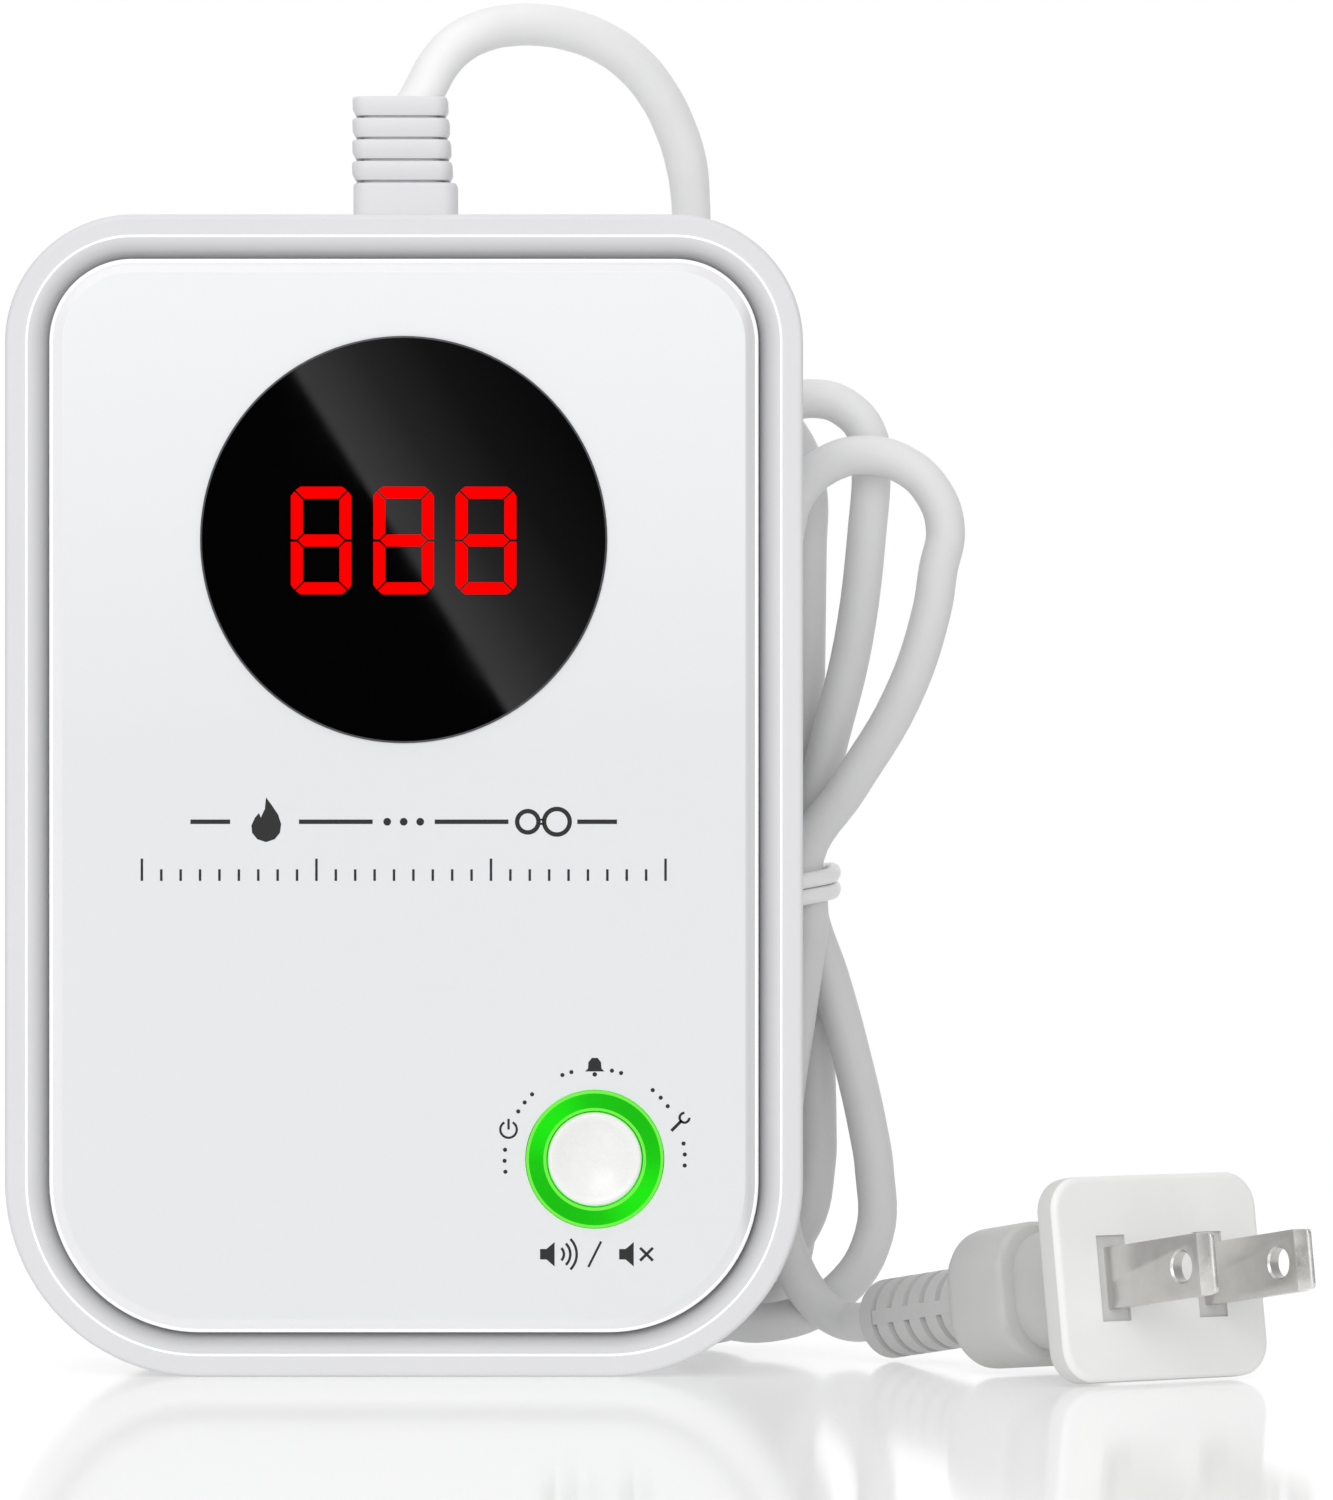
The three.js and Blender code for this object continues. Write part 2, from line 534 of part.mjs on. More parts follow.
function cordParts() {
  const notchHalf = TIE.notch;
  const pinch = block(0, 70, HANK.front - 1, HANK.tieFront, HANK.tieZ - notchHalf, HANK.tieZ + notchHalf);
  const hank = carve(slab(hankShape(), HANK.front, HANK.back), [], [pinch]);
  const inner = { left: HANK.waistX - HANK.waistHalf - CUT_GAP, right: HANK.waistX + HANK.waistHalf + CUT_GAP };
  const bottom = HANK.tieZ - TIE.height / 2;
  const top = HANK.tieZ + TIE.height / 2;
  const band = block(inner.left - TIE.thick, inner.right + TIE.thick, HANK.tieFront - CUT_GAP - TIE.thick,
    HANK.back + CUT_GAP + TIE.thick, bottom, top);
  const held = block(inner.left, inner.right, HANK.tieFront - CUT_GAP, HANK.back + CUT_GAP, bottom - 1, top + 1);
  return [
    mesh("cord_arch", tube(ARCH_POINTS, CORD_RADIUS, CORD_SIDES, ARCH_STEPS), CORD_PVC),
    mesh("cord_hank", hank, CORD_PVC),
    mesh("hank_tie", carve(band, [], [held]), CORD_PVC),
    mesh("cord_tail", tube(TAIL_POINTS, CORD_RADIUS, CORD_SIDES, TAIL_STEPS), CORD_PVC),
  ];
}

// A shape drawn across the plug, made solid along its X axis
function plugSlab(shape, from, to, round = 0) {
  const geometry = new THREE.ExtrudeGeometry(shape, {
    depth: to - from - 2 * round, bevelEnabled: round > 0, bevelSize: round, bevelThickness: round,
    bevelOffset: -round, bevelSegments: 2, curveSegments: 4,
  });
  return geometry.rotateX(Math.PI / 2).rotateZ(Math.PI / 2).translate(from + round, 0, 0);
}

// A profile of [radius, x] points turned about the plug's X axis and widened across the blades
function plugTurned(profile, widen) {
  const geometry = turned(profile, 0, 0, 24);
  return geometry.rotateZ(-Math.PI / 2).scale(1, widen, 1);
}

function plugBody() {
  const { end, reliefEnd, reliefRadius, widen } = PLUG_BODY;
  const back = -PLATE.thick - CUT_GAP;
  const relief = plugTurned([
    [0, end], [reliefRadius - 0.4, end], [reliefRadius, end + 0.4], [reliefRadius + 0.3, reliefEnd + 2],
    [0, reliefEnd + 2],
  ], 1);
  const bulb = plugTurned([
    [0, reliefEnd - 0.5], [3.6, reliefEnd - 0.5], [5.4, reliefEnd + 1.5], [6.7, reliefEnd + 4], [7.3, reliefEnd + 7.5],
    [7.2, reliefEnd + 12], [6.8, reliefEnd + 13.4], [6.3, reliefEnd + 14.2], [6.3, back], [0, back],
  ], widen);
  const cut = [-1, 1].map((side) => bladePocket(side, BLADE.root - CUT_GAP, 0));
  for (let i = 0; i < RELIEF_SLOT.count; i += 1) {
    const at = RELIEF_SLOT.first + i * RELIEF_SLOT.pitch;
    for (const side of [-1, 1]) {
      const inner = side * (reliefRadius - RELIEF_SLOT.depth);
      const outer = side * (reliefRadius + 2);
      cut.push(block(at, at + RELIEF_SLOT.width, Math.min(inner, outer), Math.max(inner, outer), 0.9, 3.4));
      cut.push(block(at, at + RELIEF_SLOT.width, Math.min(inner, outer), Math.max(inner, outer), -3.4, -0.9));
    }
  }
  return mesh("plug_body", carve(relief, [bulb], cut), CORD_PVC);
}

// The room a blade needs, with its clearance
function bladePocket(side, from, to) {
  const middle = (side * BLADE.spacing) / 2;
  const half = BLADE.thick / 2 + CUT_GAP;
  const rise = BLADE.width / 2 + CUT_GAP;
  return block(from, to, middle - half, middle + half, -rise, rise);
}

function plugPlate() {
  const { width, height, thick, corner, round } = PLATE;
  const shape = roundedShape(-width / 2, width / 2, -height / 2, height / 2, corner, corner);
  const pockets = [-1, 1].map((side) => bladePocket(side, -thick - 1, 1));
  return mesh("plug_face_plate", carve(plugSlab(shape, -thick, 0, round), [], pockets), CORD_PVC);
}

// A flat blade with a round hole and a bevelled tip, drawn in the plug's X and Z
function plugBlade(side) {
  const { root, length, width, thick, spacing, hole, holeAt: holeX } = BLADE;
  const half = width / 2;
  const bevel = 1.2;
  const shape = new THREE.Shape();
  shape.moveTo(root, -half);
  shape.lineTo(length - bevel, -half);
  shape.lineTo(length, -half + bevel);
  shape.lineTo(length, half - bevel);
  shape.lineTo(length - bevel, half);
  shape.lineTo(root, half);
  holeAt(shape, holeX, 0, hole);
  const middle = (side * spacing) / 2;
  return slab(shape, middle - thick / 2, middle + thick / 2);
}

function plug() {
  const group = new THREE.Group();
  group.add(
    plugBody(),
    plugPlate(),
    mesh("plug_blade_left", plugBlade(-1), NICKEL),
    mesh("plug_blade_right", plugBlade(1), NICKEL),
  );
  group.position.set(PLUG.x, PLUG.y, PLUG.z);
  group.rotation.set(0, degrees(PLUG.pitch), degrees(PLUG.yaw), "ZYX");
  return group;
}

const detector = new THREE.Group();
detector.add(
  frontCover(),
  rearCover(),
  facePanel(),
  displayLens(),
  adhesiveRing(),
  displayPackage(),
  lightRing(),
  ...testButton(),
  switchBody(),
  ...statusLights(),
  circuitBoard(),
  ...screws(),
  ...transformer(),
  ...powerParts(),
  ...sensorParts(),
  ...innerLeads(),
  strainRelief(),
  ...cordParts(),
  plug(),
);

export default detector;
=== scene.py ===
"""Looks of an upright gas and carbon monoxide detector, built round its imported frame. Metres, +Z up."""

import json
import math

import bmesh
import bpy
from mathutils import Euler, Matrix, Vector


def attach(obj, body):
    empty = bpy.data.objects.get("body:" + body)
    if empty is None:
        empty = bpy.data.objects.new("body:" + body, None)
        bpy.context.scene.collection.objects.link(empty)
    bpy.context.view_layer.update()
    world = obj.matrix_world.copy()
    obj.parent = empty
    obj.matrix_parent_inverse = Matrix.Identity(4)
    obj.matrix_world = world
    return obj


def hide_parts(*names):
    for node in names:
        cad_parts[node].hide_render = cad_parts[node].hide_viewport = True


bl_info = {
    "name": "Gas Detector Looks",
    "version": (1, 0, 0),
    "blender": (4, 5, 0),
    "location": "3D View > Sidebar > Detector",
    "description": "Models and finishes the pieces of an upright gas and carbon monoxide detector",
    "category": "Object",
}

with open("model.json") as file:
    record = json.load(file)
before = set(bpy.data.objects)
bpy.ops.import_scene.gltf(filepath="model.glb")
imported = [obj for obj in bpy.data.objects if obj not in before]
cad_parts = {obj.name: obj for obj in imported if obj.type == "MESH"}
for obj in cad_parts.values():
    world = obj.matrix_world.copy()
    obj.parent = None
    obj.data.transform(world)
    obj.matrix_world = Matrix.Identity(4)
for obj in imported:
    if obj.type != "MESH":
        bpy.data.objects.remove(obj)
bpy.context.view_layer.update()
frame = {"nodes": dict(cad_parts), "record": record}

MM = 0.001
TINY = 0.02
SUPPORT = 0.06
QUARTER = math.pi / 2
DETECTOR = "detector"
TEST_BUTTON = "test_button"

# Levels of the case's parts, as millimetres in front of its middle plane
PARTING_FRONT, PARTING_BACK = -3.0, -3.3
RIM_LEVEL, DECK_BACK, CASE_BACK = 17.0, 13.0, -18.0
PANEL_LEVEL, PANEL_BACK = 17.7, 15.4
GROOVE_LEVEL = 15.2
FACE_LEVEL = 18.0

# Radii of the openings behind the lens and round the light ring
WINDOW_RADIUS, COVER_RING_HOLE, PANEL_RING_HOLE = 17.0, 7.4, 7.17

# The cord's free stretches, in millimetres, within about a millimetre of the frame's solids
ARCH = [
    (-0.3, 7.6, 131.6), (1.1, 8.0, 133.7), (1.9, 8.3, 135.3), (3.0, 8.8, 137.3), (5.0, 9.8, 139.5),
    (7.7, 11.2, 141.0), (10.5, 12.9, 141.7), (13.4, 14.7, 141.9), (16.8, 16.8, 141.5), (20.4, 19.2, 140.3),
    (23.6, 21.8, 138.2), (26.2, 24.4, 135.2), (28.0, 26.8, 131.8), (29.2, 28.8, 128.1), (29.7, 30.5, 124.2),
    (29.8, 31.9, 120.2), (30.0, 33.9, 114.2), (30.2, 35.3, 109.4), (30.4, 35.8, 105.8),
]

# How much fuller the cord is where it leaves the strain relief, and over how many of its first points
ARCH_SWELL, ARCH_SWELL_POINTS = 1.07, 14
BEHIND_CASE = [(31.4, 37.9, 96.0), (33.2, 38.7, 84.0), (36.2, 38.9, 70.0)]
TAIL = [
    (41.3, 21.8, 38.0), (39.8, 20.9, 28.0), (39.0, 20.75, 20.0), (39.3, 20.75, 14.0), (40.9, 20.75, 9.0),
    (42.9, 20.3, 5.9), (44.9, 19.0, 4.3), (46.8, 17.0, 3.7), (48.1, 14.8, 3.8), (49.3, 13.1, 4.0),
    (50.4, 11.6, 4.28),
]

# The hank's loops: centre across, centre up and radius, from the back of the hank to its front. A loop's
# last three numbers bow its right-hand strand outwards near the tie, midway and near the circle.
LOW_LOOPS = [
    (27.5, 14.4, 11.8, 0, 0, 0), (30.5, 13.2, 10.8, 0, 0, 0), (30.7, 19.5, 12.6, 0.5, 0.5, 0.3),
    (36.9, 16.2, 13.0, 0.9, 0.9, 0.5)]
HIGH_LOOPS = [
    (25.5, 90.0, 10.5, 0, 0, 0), (32.2, 92.6, 10.2, 0, 0, 0), (42.9, 96.2, 6.3, 0.4, 1.3, 0.7),
    (48.4, 87.7, 8.6, 1.25, 2.5, 1.4)]
TIE_HEIGHT, TIE_HALF = 50.1, 3.0
TIE_LEFT, TIE_MIDDLE, TIE_RIGHT = 37.5, 39.7, 41.9
HANK_FRONT, HANK_PITCH = 21.0, 4.4
PINCHED_FRONT, PINCHED_PITCH = 22.7, 4.15


# Sizes and colours that a user may change ------------------------------------------------------------

def length(label, about, millimetres):
    """A length property, given in millimetres and kept in metres."""
    return bpy.props.FloatProperty(
        name=label, description=about, default=millimetres * MM, min=0, precision=5,
        subtype="DISTANCE", unit="LENGTH")


def place(label, about, millimetres):
    """A place property, given in millimetres and kept in metres."""
    return bpy.props.FloatVectorProperty(
        name=label, description=about, default=[value * MM for value in millimetres], precision=5,
        subtype="TRANSLATION", unit="LENGTH")


def linear(code):
    """Turns an sRGB hex value into a linear colour."""
    shares = [int(code[at:at + 2], 16) / 255 for at in (1, 3, 5)]
    return [share / 12.92 if share <= 0.04045 else ((share + 0.055) / 1.055) ** 2.4 for share in shares]


def colour(label, about, code):
    """A colour property, given as an sRGB hex value."""
    return bpy.props.FloatVectorProperty(
        name=label, description=about, default=linear(code), size=3, min=0, max=1, subtype="COLOR")


class DetectorCaseSizes(bpy.types.PropertyGroup):
    """Sizes of the case and its face."""
    width: length("Width", "Case from side to side", 82.4)
    height: length("Height", "Case from its lower edge to its top", 120.0)
    low_round: length("Lower corners", "Radius of the two lower corners", 20.1)
    high_round: length("Upper corners", "Radius of the two upper corners", 13.2)
    wall: length("Wall", "Thickness of the moulded walls", 2.2)
    rim_round: length("Rim rounding", "Rounding of the rim's outer edge", 0.5)
    rim_flat: length("Rim width", "Rim's outer edge to its bead", 2.12)
    panel_inset: length("Panel inset", "Case's outer edge to the panel's edge", 4.6)
    panel_round: length("Panel rounding", "Rounding of the panel's edge", 0.5)
    back_round: length("Back rounding", "Rounding of the rear cover's edge", 2.0)


class DetectorFaceSizes(bpy.types.PropertyGroup):
    """Sizes of what is in the face."""
    lens_at: place("Lens place", "Middle of the display lens", (0.0, 0.0, 86.4))
    lens_radius: length("Lens radius", "Outside radius of the display lens", 21.0)
    lens_chamfer: length("Lens chamfer", "Chamfer of the lens's front edge", 0.2)
    button_at: place("Button place", "Middle of the test button", (19.7, 0.0, 22.5))
    button_radius: length("Button radius", "Radius of the test button's cap", 4.85)
    ring_outer: length("Ring outside", "Outside radius of the light ring", 7.1)
    ring_inner: length("Ring inside", "Inside radius of the light ring", 5.0)
    digit_width: length("Digit width", "Width of one lit figure", 6.25)
    digit_height: length("Digit height", "Height of one lit figure", 11.1)
    digit_pitch: length("Digit pitch", "Middle of one figure to the middle of the next", 8.5)
    segment: length("Segment", "Thickness of a lit segment", 1.24)


class DetectorCordSizes(bpy.types.PropertyGroup):
    """Sizes of the cord and its plug."""
    diameter: length("Cord diameter", "Outside diameter of the cord", 4.2)
    plug_at: place("Plug place", "Middle of the plug's face", (77.8, -26.0, 10.9))
    plug_yaw: bpy.props.FloatProperty(
        name="Plug yaw", description="Turn of the plug about the vertical",
        default=math.radians(-53.9), subtype="ANGLE", unit="ROTATION")
    plug_pitch: bpy.props.FloatProperty(
        name="Plug pitch", description="Tilt of the plug about its width",
        default=math.radians(-8.1), subtype="ANGLE", unit="ROTATION")
    plate_width: length("Plate width", "Width of the plug's face plate", 26.8)
    plate_height: length("Plate height", "Height of the plug's face plate", 21.0)
    plate_thick: length("Plate thickness", "Thickness of the plug's face plate", 3.1)
    blade_width: length("Blade width", "Width of a plug blade", 6.35)
    blade_thick: length("Blade thickness", "Thickness of a plug blade", 1.5)
    blade_spacing: length("Blade spacing", "Middle of one blade to the middle of the other", 12.7)
    blade_length: length("Blade length", "Face of the plug to the tips of its blades", 16.4)


class DetectorColours(bpy.types.PropertyGroup):
    """Colours of the finishes."""
    case: colour("Case", "Moulded case", "#DDDDDF")
    panel: colour("Panel", "Face panel", "#EEEFF1")
    # Colour of the painted highlight: the faintly glowing bead and panel edge.
    painted_highlight_edge: colour("Bright edge", "Polished bead and panel edge", "#FFFFFF")
    lens: colour("Lens", "Display lens", "#020203")
    figures: colour("Figures", "Lit figures of the display", "#FF0000")
    light_ring: colour("Light ring", "Lit ring round the test button", "#16F204")
    button: colour("Button", "Test button's cap", "#EEEEED")
    ink: colour("Ink", "Printed marks", "#141416")
    cord: colour("Cord", "Extruded cord", "#F5F5F5")
    relief: colour("Strain relief", "Strain relief on the case", "#E4E4E6")
    # One PVC: the plug's body is set darker and its face plate lighter, as painted shade and painted light.
    plug: colour("Plug", "Moulded plug body", "#C6C6C5")
    plug_face: colour("Plug face", "Moulded plug face plate", "#F2F2F1")
    blades: colour("Blades", "Plated plug blades", "#D5D4D1")


def sizes(group):
    """One group of the user's sizes, its lengths turned into millimetres."""
    values = getattr(bpy.context.scene, group)
    found = {}
    for name, kind in values.bl_rna.properties.items():
        if kind.type != "FLOAT":
            continue
        value = getattr(values, name)
        if kind.subtype == "ANGLE":
            found[name] = value
        elif kind.is_array:
            found[name] = Vector(value) / MM
        else:
            found[name] = value / MM
    return found


def chosen_colour(name):
    """One of the user's colours, with full cover."""
    return (*getattr(bpy.context.scene.detector_colours, name), 1.0)


# Modelling by hand -----------------------------------------------------------------------------------

def leave_edit():
    """Leaves edit mode and selects nothing."""
    if bpy.context.mode != "OBJECT":
        bpy.ops.object.mode_set(mode="OBJECT")
    bpy.ops.object.select_all(action="DESELECT")


def take(*pieces):
    """Selects these pieces only, the first of them active."""
    leave_edit()
    for piece in pieces:
        piece.select_set(True)
    bpy.context.view_layer.objects.active = pieces[0]


def pick(piece, kind, wanted):
    """In edit mode, selects only the vertices, edges or faces that pass a test."""
    bpy.ops.mesh.select_mode(type=kind)
    bpy.ops.mesh.select_all(action="DESELECT")
    shape = bmesh.from_edit_mesh(piece.data)
    for item in {"VERT": shape.verts, "EDGE": shape.edges, "FACE": shape.faces}[kind]:
        if wanted(item):
            item.select_set(True)
    shape.select_flush_mode()
    bmesh.update_edit_mesh(piece.data)


def plate(name, width, height, rounds, steps=24):
    """Starts a flat face in XY, its lower and upper corner pairs rounded. Left in edit mode, all picked."""
    leave_edit()
    bpy.ops.mesh.primitive_plane_add(size=1)
    piece = bpy.context.object
    piece.name = name
    piece.scale = (width, height, 1)
    bpy.ops.object.transform_apply(location=False, rotation=False, scale=True)
    bpy.ops.object.mode_set(mode="EDIT")
    for side, radius in zip((-1, 1), rounds):
        if radius:
            pick(piece, "VERT", lambda point: point.co.y * side > height / 2 - TINY)
            bpy.ops.mesh.bevel(offset=radius, segments=steps, profile=0.5, affect="VERTICES")
    bpy.ops.mesh.select_all(action="SELECT")
    return piece


def disc(name, radius, sides=72):
    """Starts a round face in XY. Left in edit mode, all picked."""
    leave_edit()
    bpy.ops.mesh.primitive_circle_add(vertices=sides, radius=radius, fill_type="NGON")
    piece = bpy.context.object
    piece.name = name
    bpy.ops.object.mode_set(mode="EDIT")
    bpy.ops.mesh.select_all(action="SELECT")
    return piece


def rise(height):
    """Extrudes the picked face straight up."""
    bpy.ops.mesh.extrude_region_move(TRANSFORM_OT_translate={"value": (0, 0, height)})


def step_in(inwards, up=0.0):
    """Insets the picked face and lifts what is inside."""
    bpy.ops.mesh.inset(thickness=inwards, depth=up, use_even_offset=True)


def swell(across, along, up, middle=(0, 0)):
    """Extrudes the picked face up and scales it about the piece's axis."""
    rise(up)
    shape = bmesh.from_edit_mesh(bpy.context.object.data)
    level = max(point.co.z for point in shape.verts if point.select)
    bpy.ops.transform.resize(value=(across, along, 1), center_override=(middle[0], middle[1], level))


def round_over(radius, steps=6):
    """Rounds the edge between the walls just raised and the flat above them."""
    for step in range(steps):
        low, high = QUARTER * step / steps, QUARTER * (step + 1) / steps
        step_in(radius * (math.cos(low) - math.cos(high)), radius * (math.sin(high) - math.sin(low)))
    step_in(SUPPORT)


def roll_down(inwards, depth, steepest, steps=14):
    """Carries the picked flat down in a curve whose slope grows evenly from level to its steepest angle."""
    falls = [-math.log(math.cos(steepest * step / steps)) for step in range(steps + 1)]
    for low, high in zip(falls, falls[1:]):
        step_in(inwards / steps, -depth * (high - low) / falls[-1])


def lift(height):
    """Moves all of the piece being edited along its own Z."""
    bpy.ops.mesh.select_all(action="SELECT")
    bpy.ops.transform.translate(value=(0, 0, height))


def box(name, low, high):
    """Adds a plain block between two corners, for cutting with or for shaping further."""
    leave_edit()
    middle = [(a + b) / 2 for a, b in zip(low, high)]
    bpy.ops.mesh.primitive_cube_add(size=1, location=middle)
    piece = bpy.context.object
    piece.name = name
    piece.scale = [b - a for a, b in zip(low, high)]
    bpy.ops.object.transform_apply(location=True, rotation=False, scale=True)
    return piece


def rod(name, radius, foot, top, sides=48):
    """Adds a plain bar along Z from its foot to its top level, for cutting with."""
    leave_edit()
    depth = top - foot[2]
    bpy.ops.mesh.primitive_cylinder_add(
        vertices=sides, radius=radius, depth=depth, location=(foot[0], foot[1], foot[2] + depth / 2))
    piece = bpy.context.object
    piece.name = name
    bpy.ops.object.transform_apply(location=True, rotation=False, scale=False)
    return piece


def copies(piece, offsets):
    """Copies a piece to each offset, each copy with its own mesh, and returns them all."""
    made = []
    for offset in offsets:
        take(piece)
        bpy.ops.object.duplicate(linked=False)
        twin = bpy.context.object
        twin.data.transform(Matrix.Translation(offset))
        made.append(twin)
    return made


def join(pieces):
    """Joins pieces into the first."""
    take(*pieces)
    bpy.ops.object.join()
    return bpy.context.object


def cut(piece, cutters):
    """Cuts the cutters out of the piece and removes them."""
    cutter = join(cutters) if len(cutters) > 1 else cutters[0]
    take(piece)
    bpy.ops.object.modifier_add(type="BOOLEAN")
    change = piece.modifiers[-1]
    change.operation = "DIFFERENCE"
    change.solver = "EXACT"
    change.use_self = True
    change.object = cutter
    bpy.ops.object.modifier_apply(modifier=change.name)
    bpy.data.objects.remove(cutter)


def stand_up(piece, across=0.0, up=0.0):
    """Turns a piece drawn flat in XY so that its +Z looks out of the detector's face."""
    leave_edit()
    turn = Matrix.Rotation(QUARTER, 4, "X")
    piece.data.transform(Matrix.Translation((across, 0, up)) @ turn)


def finish_mesh(piece, angle=35.0, outwards=True):
    """Brings a piece from millimetres to metres, faces out, and smooths what curves."""
    take(piece)
    piece.data.transform(Matrix.Scale(MM, 4))
    bpy.ops.object.mode_set(mode="EDIT")
    bpy.ops.mesh.select_all(action="SELECT")
    bpy.ops.mesh.remove_doubles(threshold=1e-7)
    if outwards:
        bpy.ops.mesh.normals_make_consistent(inside=False)
    bpy.ops.object.mode_set(mode="OBJECT")
    bpy.ops.object.shade_smooth_by_angle(angle=math.radians(angle))


def deliver(piece, name, body, materials, nodes=()):
    """Names a piece, gives it its finish and body, and hides the solids that it stands for."""
    piece.name = name
    piece.data.name = name
    piece.data.materials.clear()
    for material in materials:
        piece.data.materials.append(material)
    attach(piece, body)
    if nodes:
        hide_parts(*nodes)
    leave_edit()


def paint(piece, index, wanted):
    """Gives the faces that pass a test another of the piece's materials."""
    for face in piece.data.polygons:
        if wanted(face):
            face.material_index = index


def flat_shape(name, outlines, level, thick):
    """Draws closed outlines as a flat curve in XY, makes it a mesh and gives it its thickness."""
    drawing = bpy.data.curves.new(name, "CURVE")
    drawing.dimensions = "2D"
    drawing.fill_mode = "BOTH"
    drawing.extrude = thick / 2
    for outline in outlines:
        line = drawing.splines.new("POLY")
        line.points.add(len(outline) - 1)
        for point, (across, up) in zip(line.points, outline):
            point.co = (across, up, 0, 1)
        line.use_cyclic_u = True
    piece = bpy.data.objects.new(name, drawing)
    bpy.context.collection.objects.link(piece)
    take(piece)
    bpy.ops.object.convert(target="MESH")
    piece = bpy.context.object
    piece.data.transform(Matrix.Translation((0, 0, level)))
    return piece


# Finishes --------------------------------------------------------------------------------------------

def add_node(tree, kind, settings=None, links=None):
    """Adds a node, sets its settings and inputs, and links other nodes' sockets into it."""
    node = tree.nodes.new(kind)
    for name, value in (settings or {}).items():
        if isinstance(name, str) and hasattr(node, name):
            setattr(node, name, value)
        else:
            node.inputs[name].default_value = value
    for name, socket in (links or {}).items():
        tree.links.new(socket, node.inputs[name])
    return node


def bare_material(name):
    """Starts a material with an empty node tree."""
    material = bpy.data.materials.new(name)
    material.use_nodes = True
    material.node_tree.nodes.clear()
    return material, material.node_tree


def new_material(name, shader):
    """Starts a material with its shader's constants set on the shader itself."""
    material, tree = bare_material(name)
    bsdf = add_node(tree, "ShaderNodeBsdfPrincipled", shader)
    add_node(tree, "ShaderNodeOutputMaterial", links={"Surface": bsdf.outputs["BSDF"]})
    coordinates = add_node(tree, "ShaderNodeTexCoord")
    return material, tree, bsdf, coordinates.outputs["Object"]


def dimmed(tone, share):
    """A linear colour at a share of its brightness, with full cover."""
    return tuple(part * share for part in tone[:3]) + (1,)


def per_metre(millimetres):
    """The texture scale that gives a pattern of this size."""
    return 1 / (millimetres * MM)


def surface(tree, bsdf, tone, gloss, relief):
    """Links a finish's colour, roughness and fine relief into its shader."""
    tree.links.new(tone.outputs["Color"], bsdf.inputs["Base Color"])
    tree.links.new(gloss.outputs["Result"], bsdf.inputs["Roughness"])
    tree.links.new(relief.outputs["Normal"], bsdf.inputs["Normal"])


def set_stops(ramp, stops):
    """Gives a colour ramp its stops, as rising pairs of place and colour."""
    marks = ramp.color_ramp.elements
    for at, _ in stops[1:-1]:
        marks.new(at)
    for mark, (at, shade) in zip(marks, stops):
        mark.position, mark.color = at, shade


def deepen(material, axis, stops):
    """Darkens a finish along one of the piece's axes, by rising pairs of millimetres and share of tone. Each
    use here paints shade.
    """
    tree = material.node_tree
    bsdf = next(node for node in tree.nodes if node.type == "BSDF_PRINCIPLED")
    tone = bsdf.inputs["Base Color"].links[0].from_socket
    where = add_node(tree, "ShaderNodeTexCoord")
    parts = add_node(tree, "ShaderNodeSeparateXYZ", links={0: where.outputs["Object"]})
    low, high = stops[0][0], stops[-1][0]
    along = add_node(tree, "ShaderNodeMapRange", {"From Min": low * MM, "From Max": high * MM},
                     {"Value": parts.outputs[axis]})
    ramp = add_node(tree, "ShaderNodeValToRGB", links={"Fac": along.outputs["Result"]})
    set_stops(ramp, [((at - low) / (high - low), (share, share, share, 1)) for at, share in stops])
    deeper = add_node(tree, "ShaderNodeVectorMath", {"operation": "MULTIPLY"},
                      {0: tone, 1: ramp.outputs["Color"]})
    tree.links.new(deeper.outputs["Vector"], bsdf.inputs["Base Color"])
    return material


def moulded(name, base, shade, roughness, grain, bump, cloud=18.0, shader=None, uneven=1.0):
    """A moulded plastic: its colour drifts a little, and its fine mould grain breaks up the gloss."""
    settings = {"IOR": 1.49}
    settings.update(shader or {})
    material, tree, bsdf, where = new_material(name, settings)
    drift = add_node(
        tree, "ShaderNodeTexNoise", {"Scale": per_metre(cloud), "Detail": 3.0}, {"Vector": where})
    tone = add_node(tree, "ShaderNodeValToRGB", links={"Fac": drift.outputs["Fac"]})
    set_stops(tone, [(0.3, dimmed(base, shade)), (0.7, base)])
    fine = add_node(
        tree, "ShaderNodeTexNoise", {"Scale": per_metre(grain), "Detail": 4.0}, {"Vector": where})
    gloss = add_node(
        tree, "ShaderNodeMapRange",
        {"From Min": 0.3, "From Max": 0.7, "To Min": roughness - 0.05 * uneven,
         "To Max": roughness + 0.07 * uneven},
        {"Value": fine.outputs["Fac"]})
    relief = add_node(
        tree, "ShaderNodeBump", {"Strength": 0.35, "Distance": bump * MM}, {"Height": fine.outputs["Fac"]})
    surface(tree, bsdf, tone, gloss, relief)
    return material


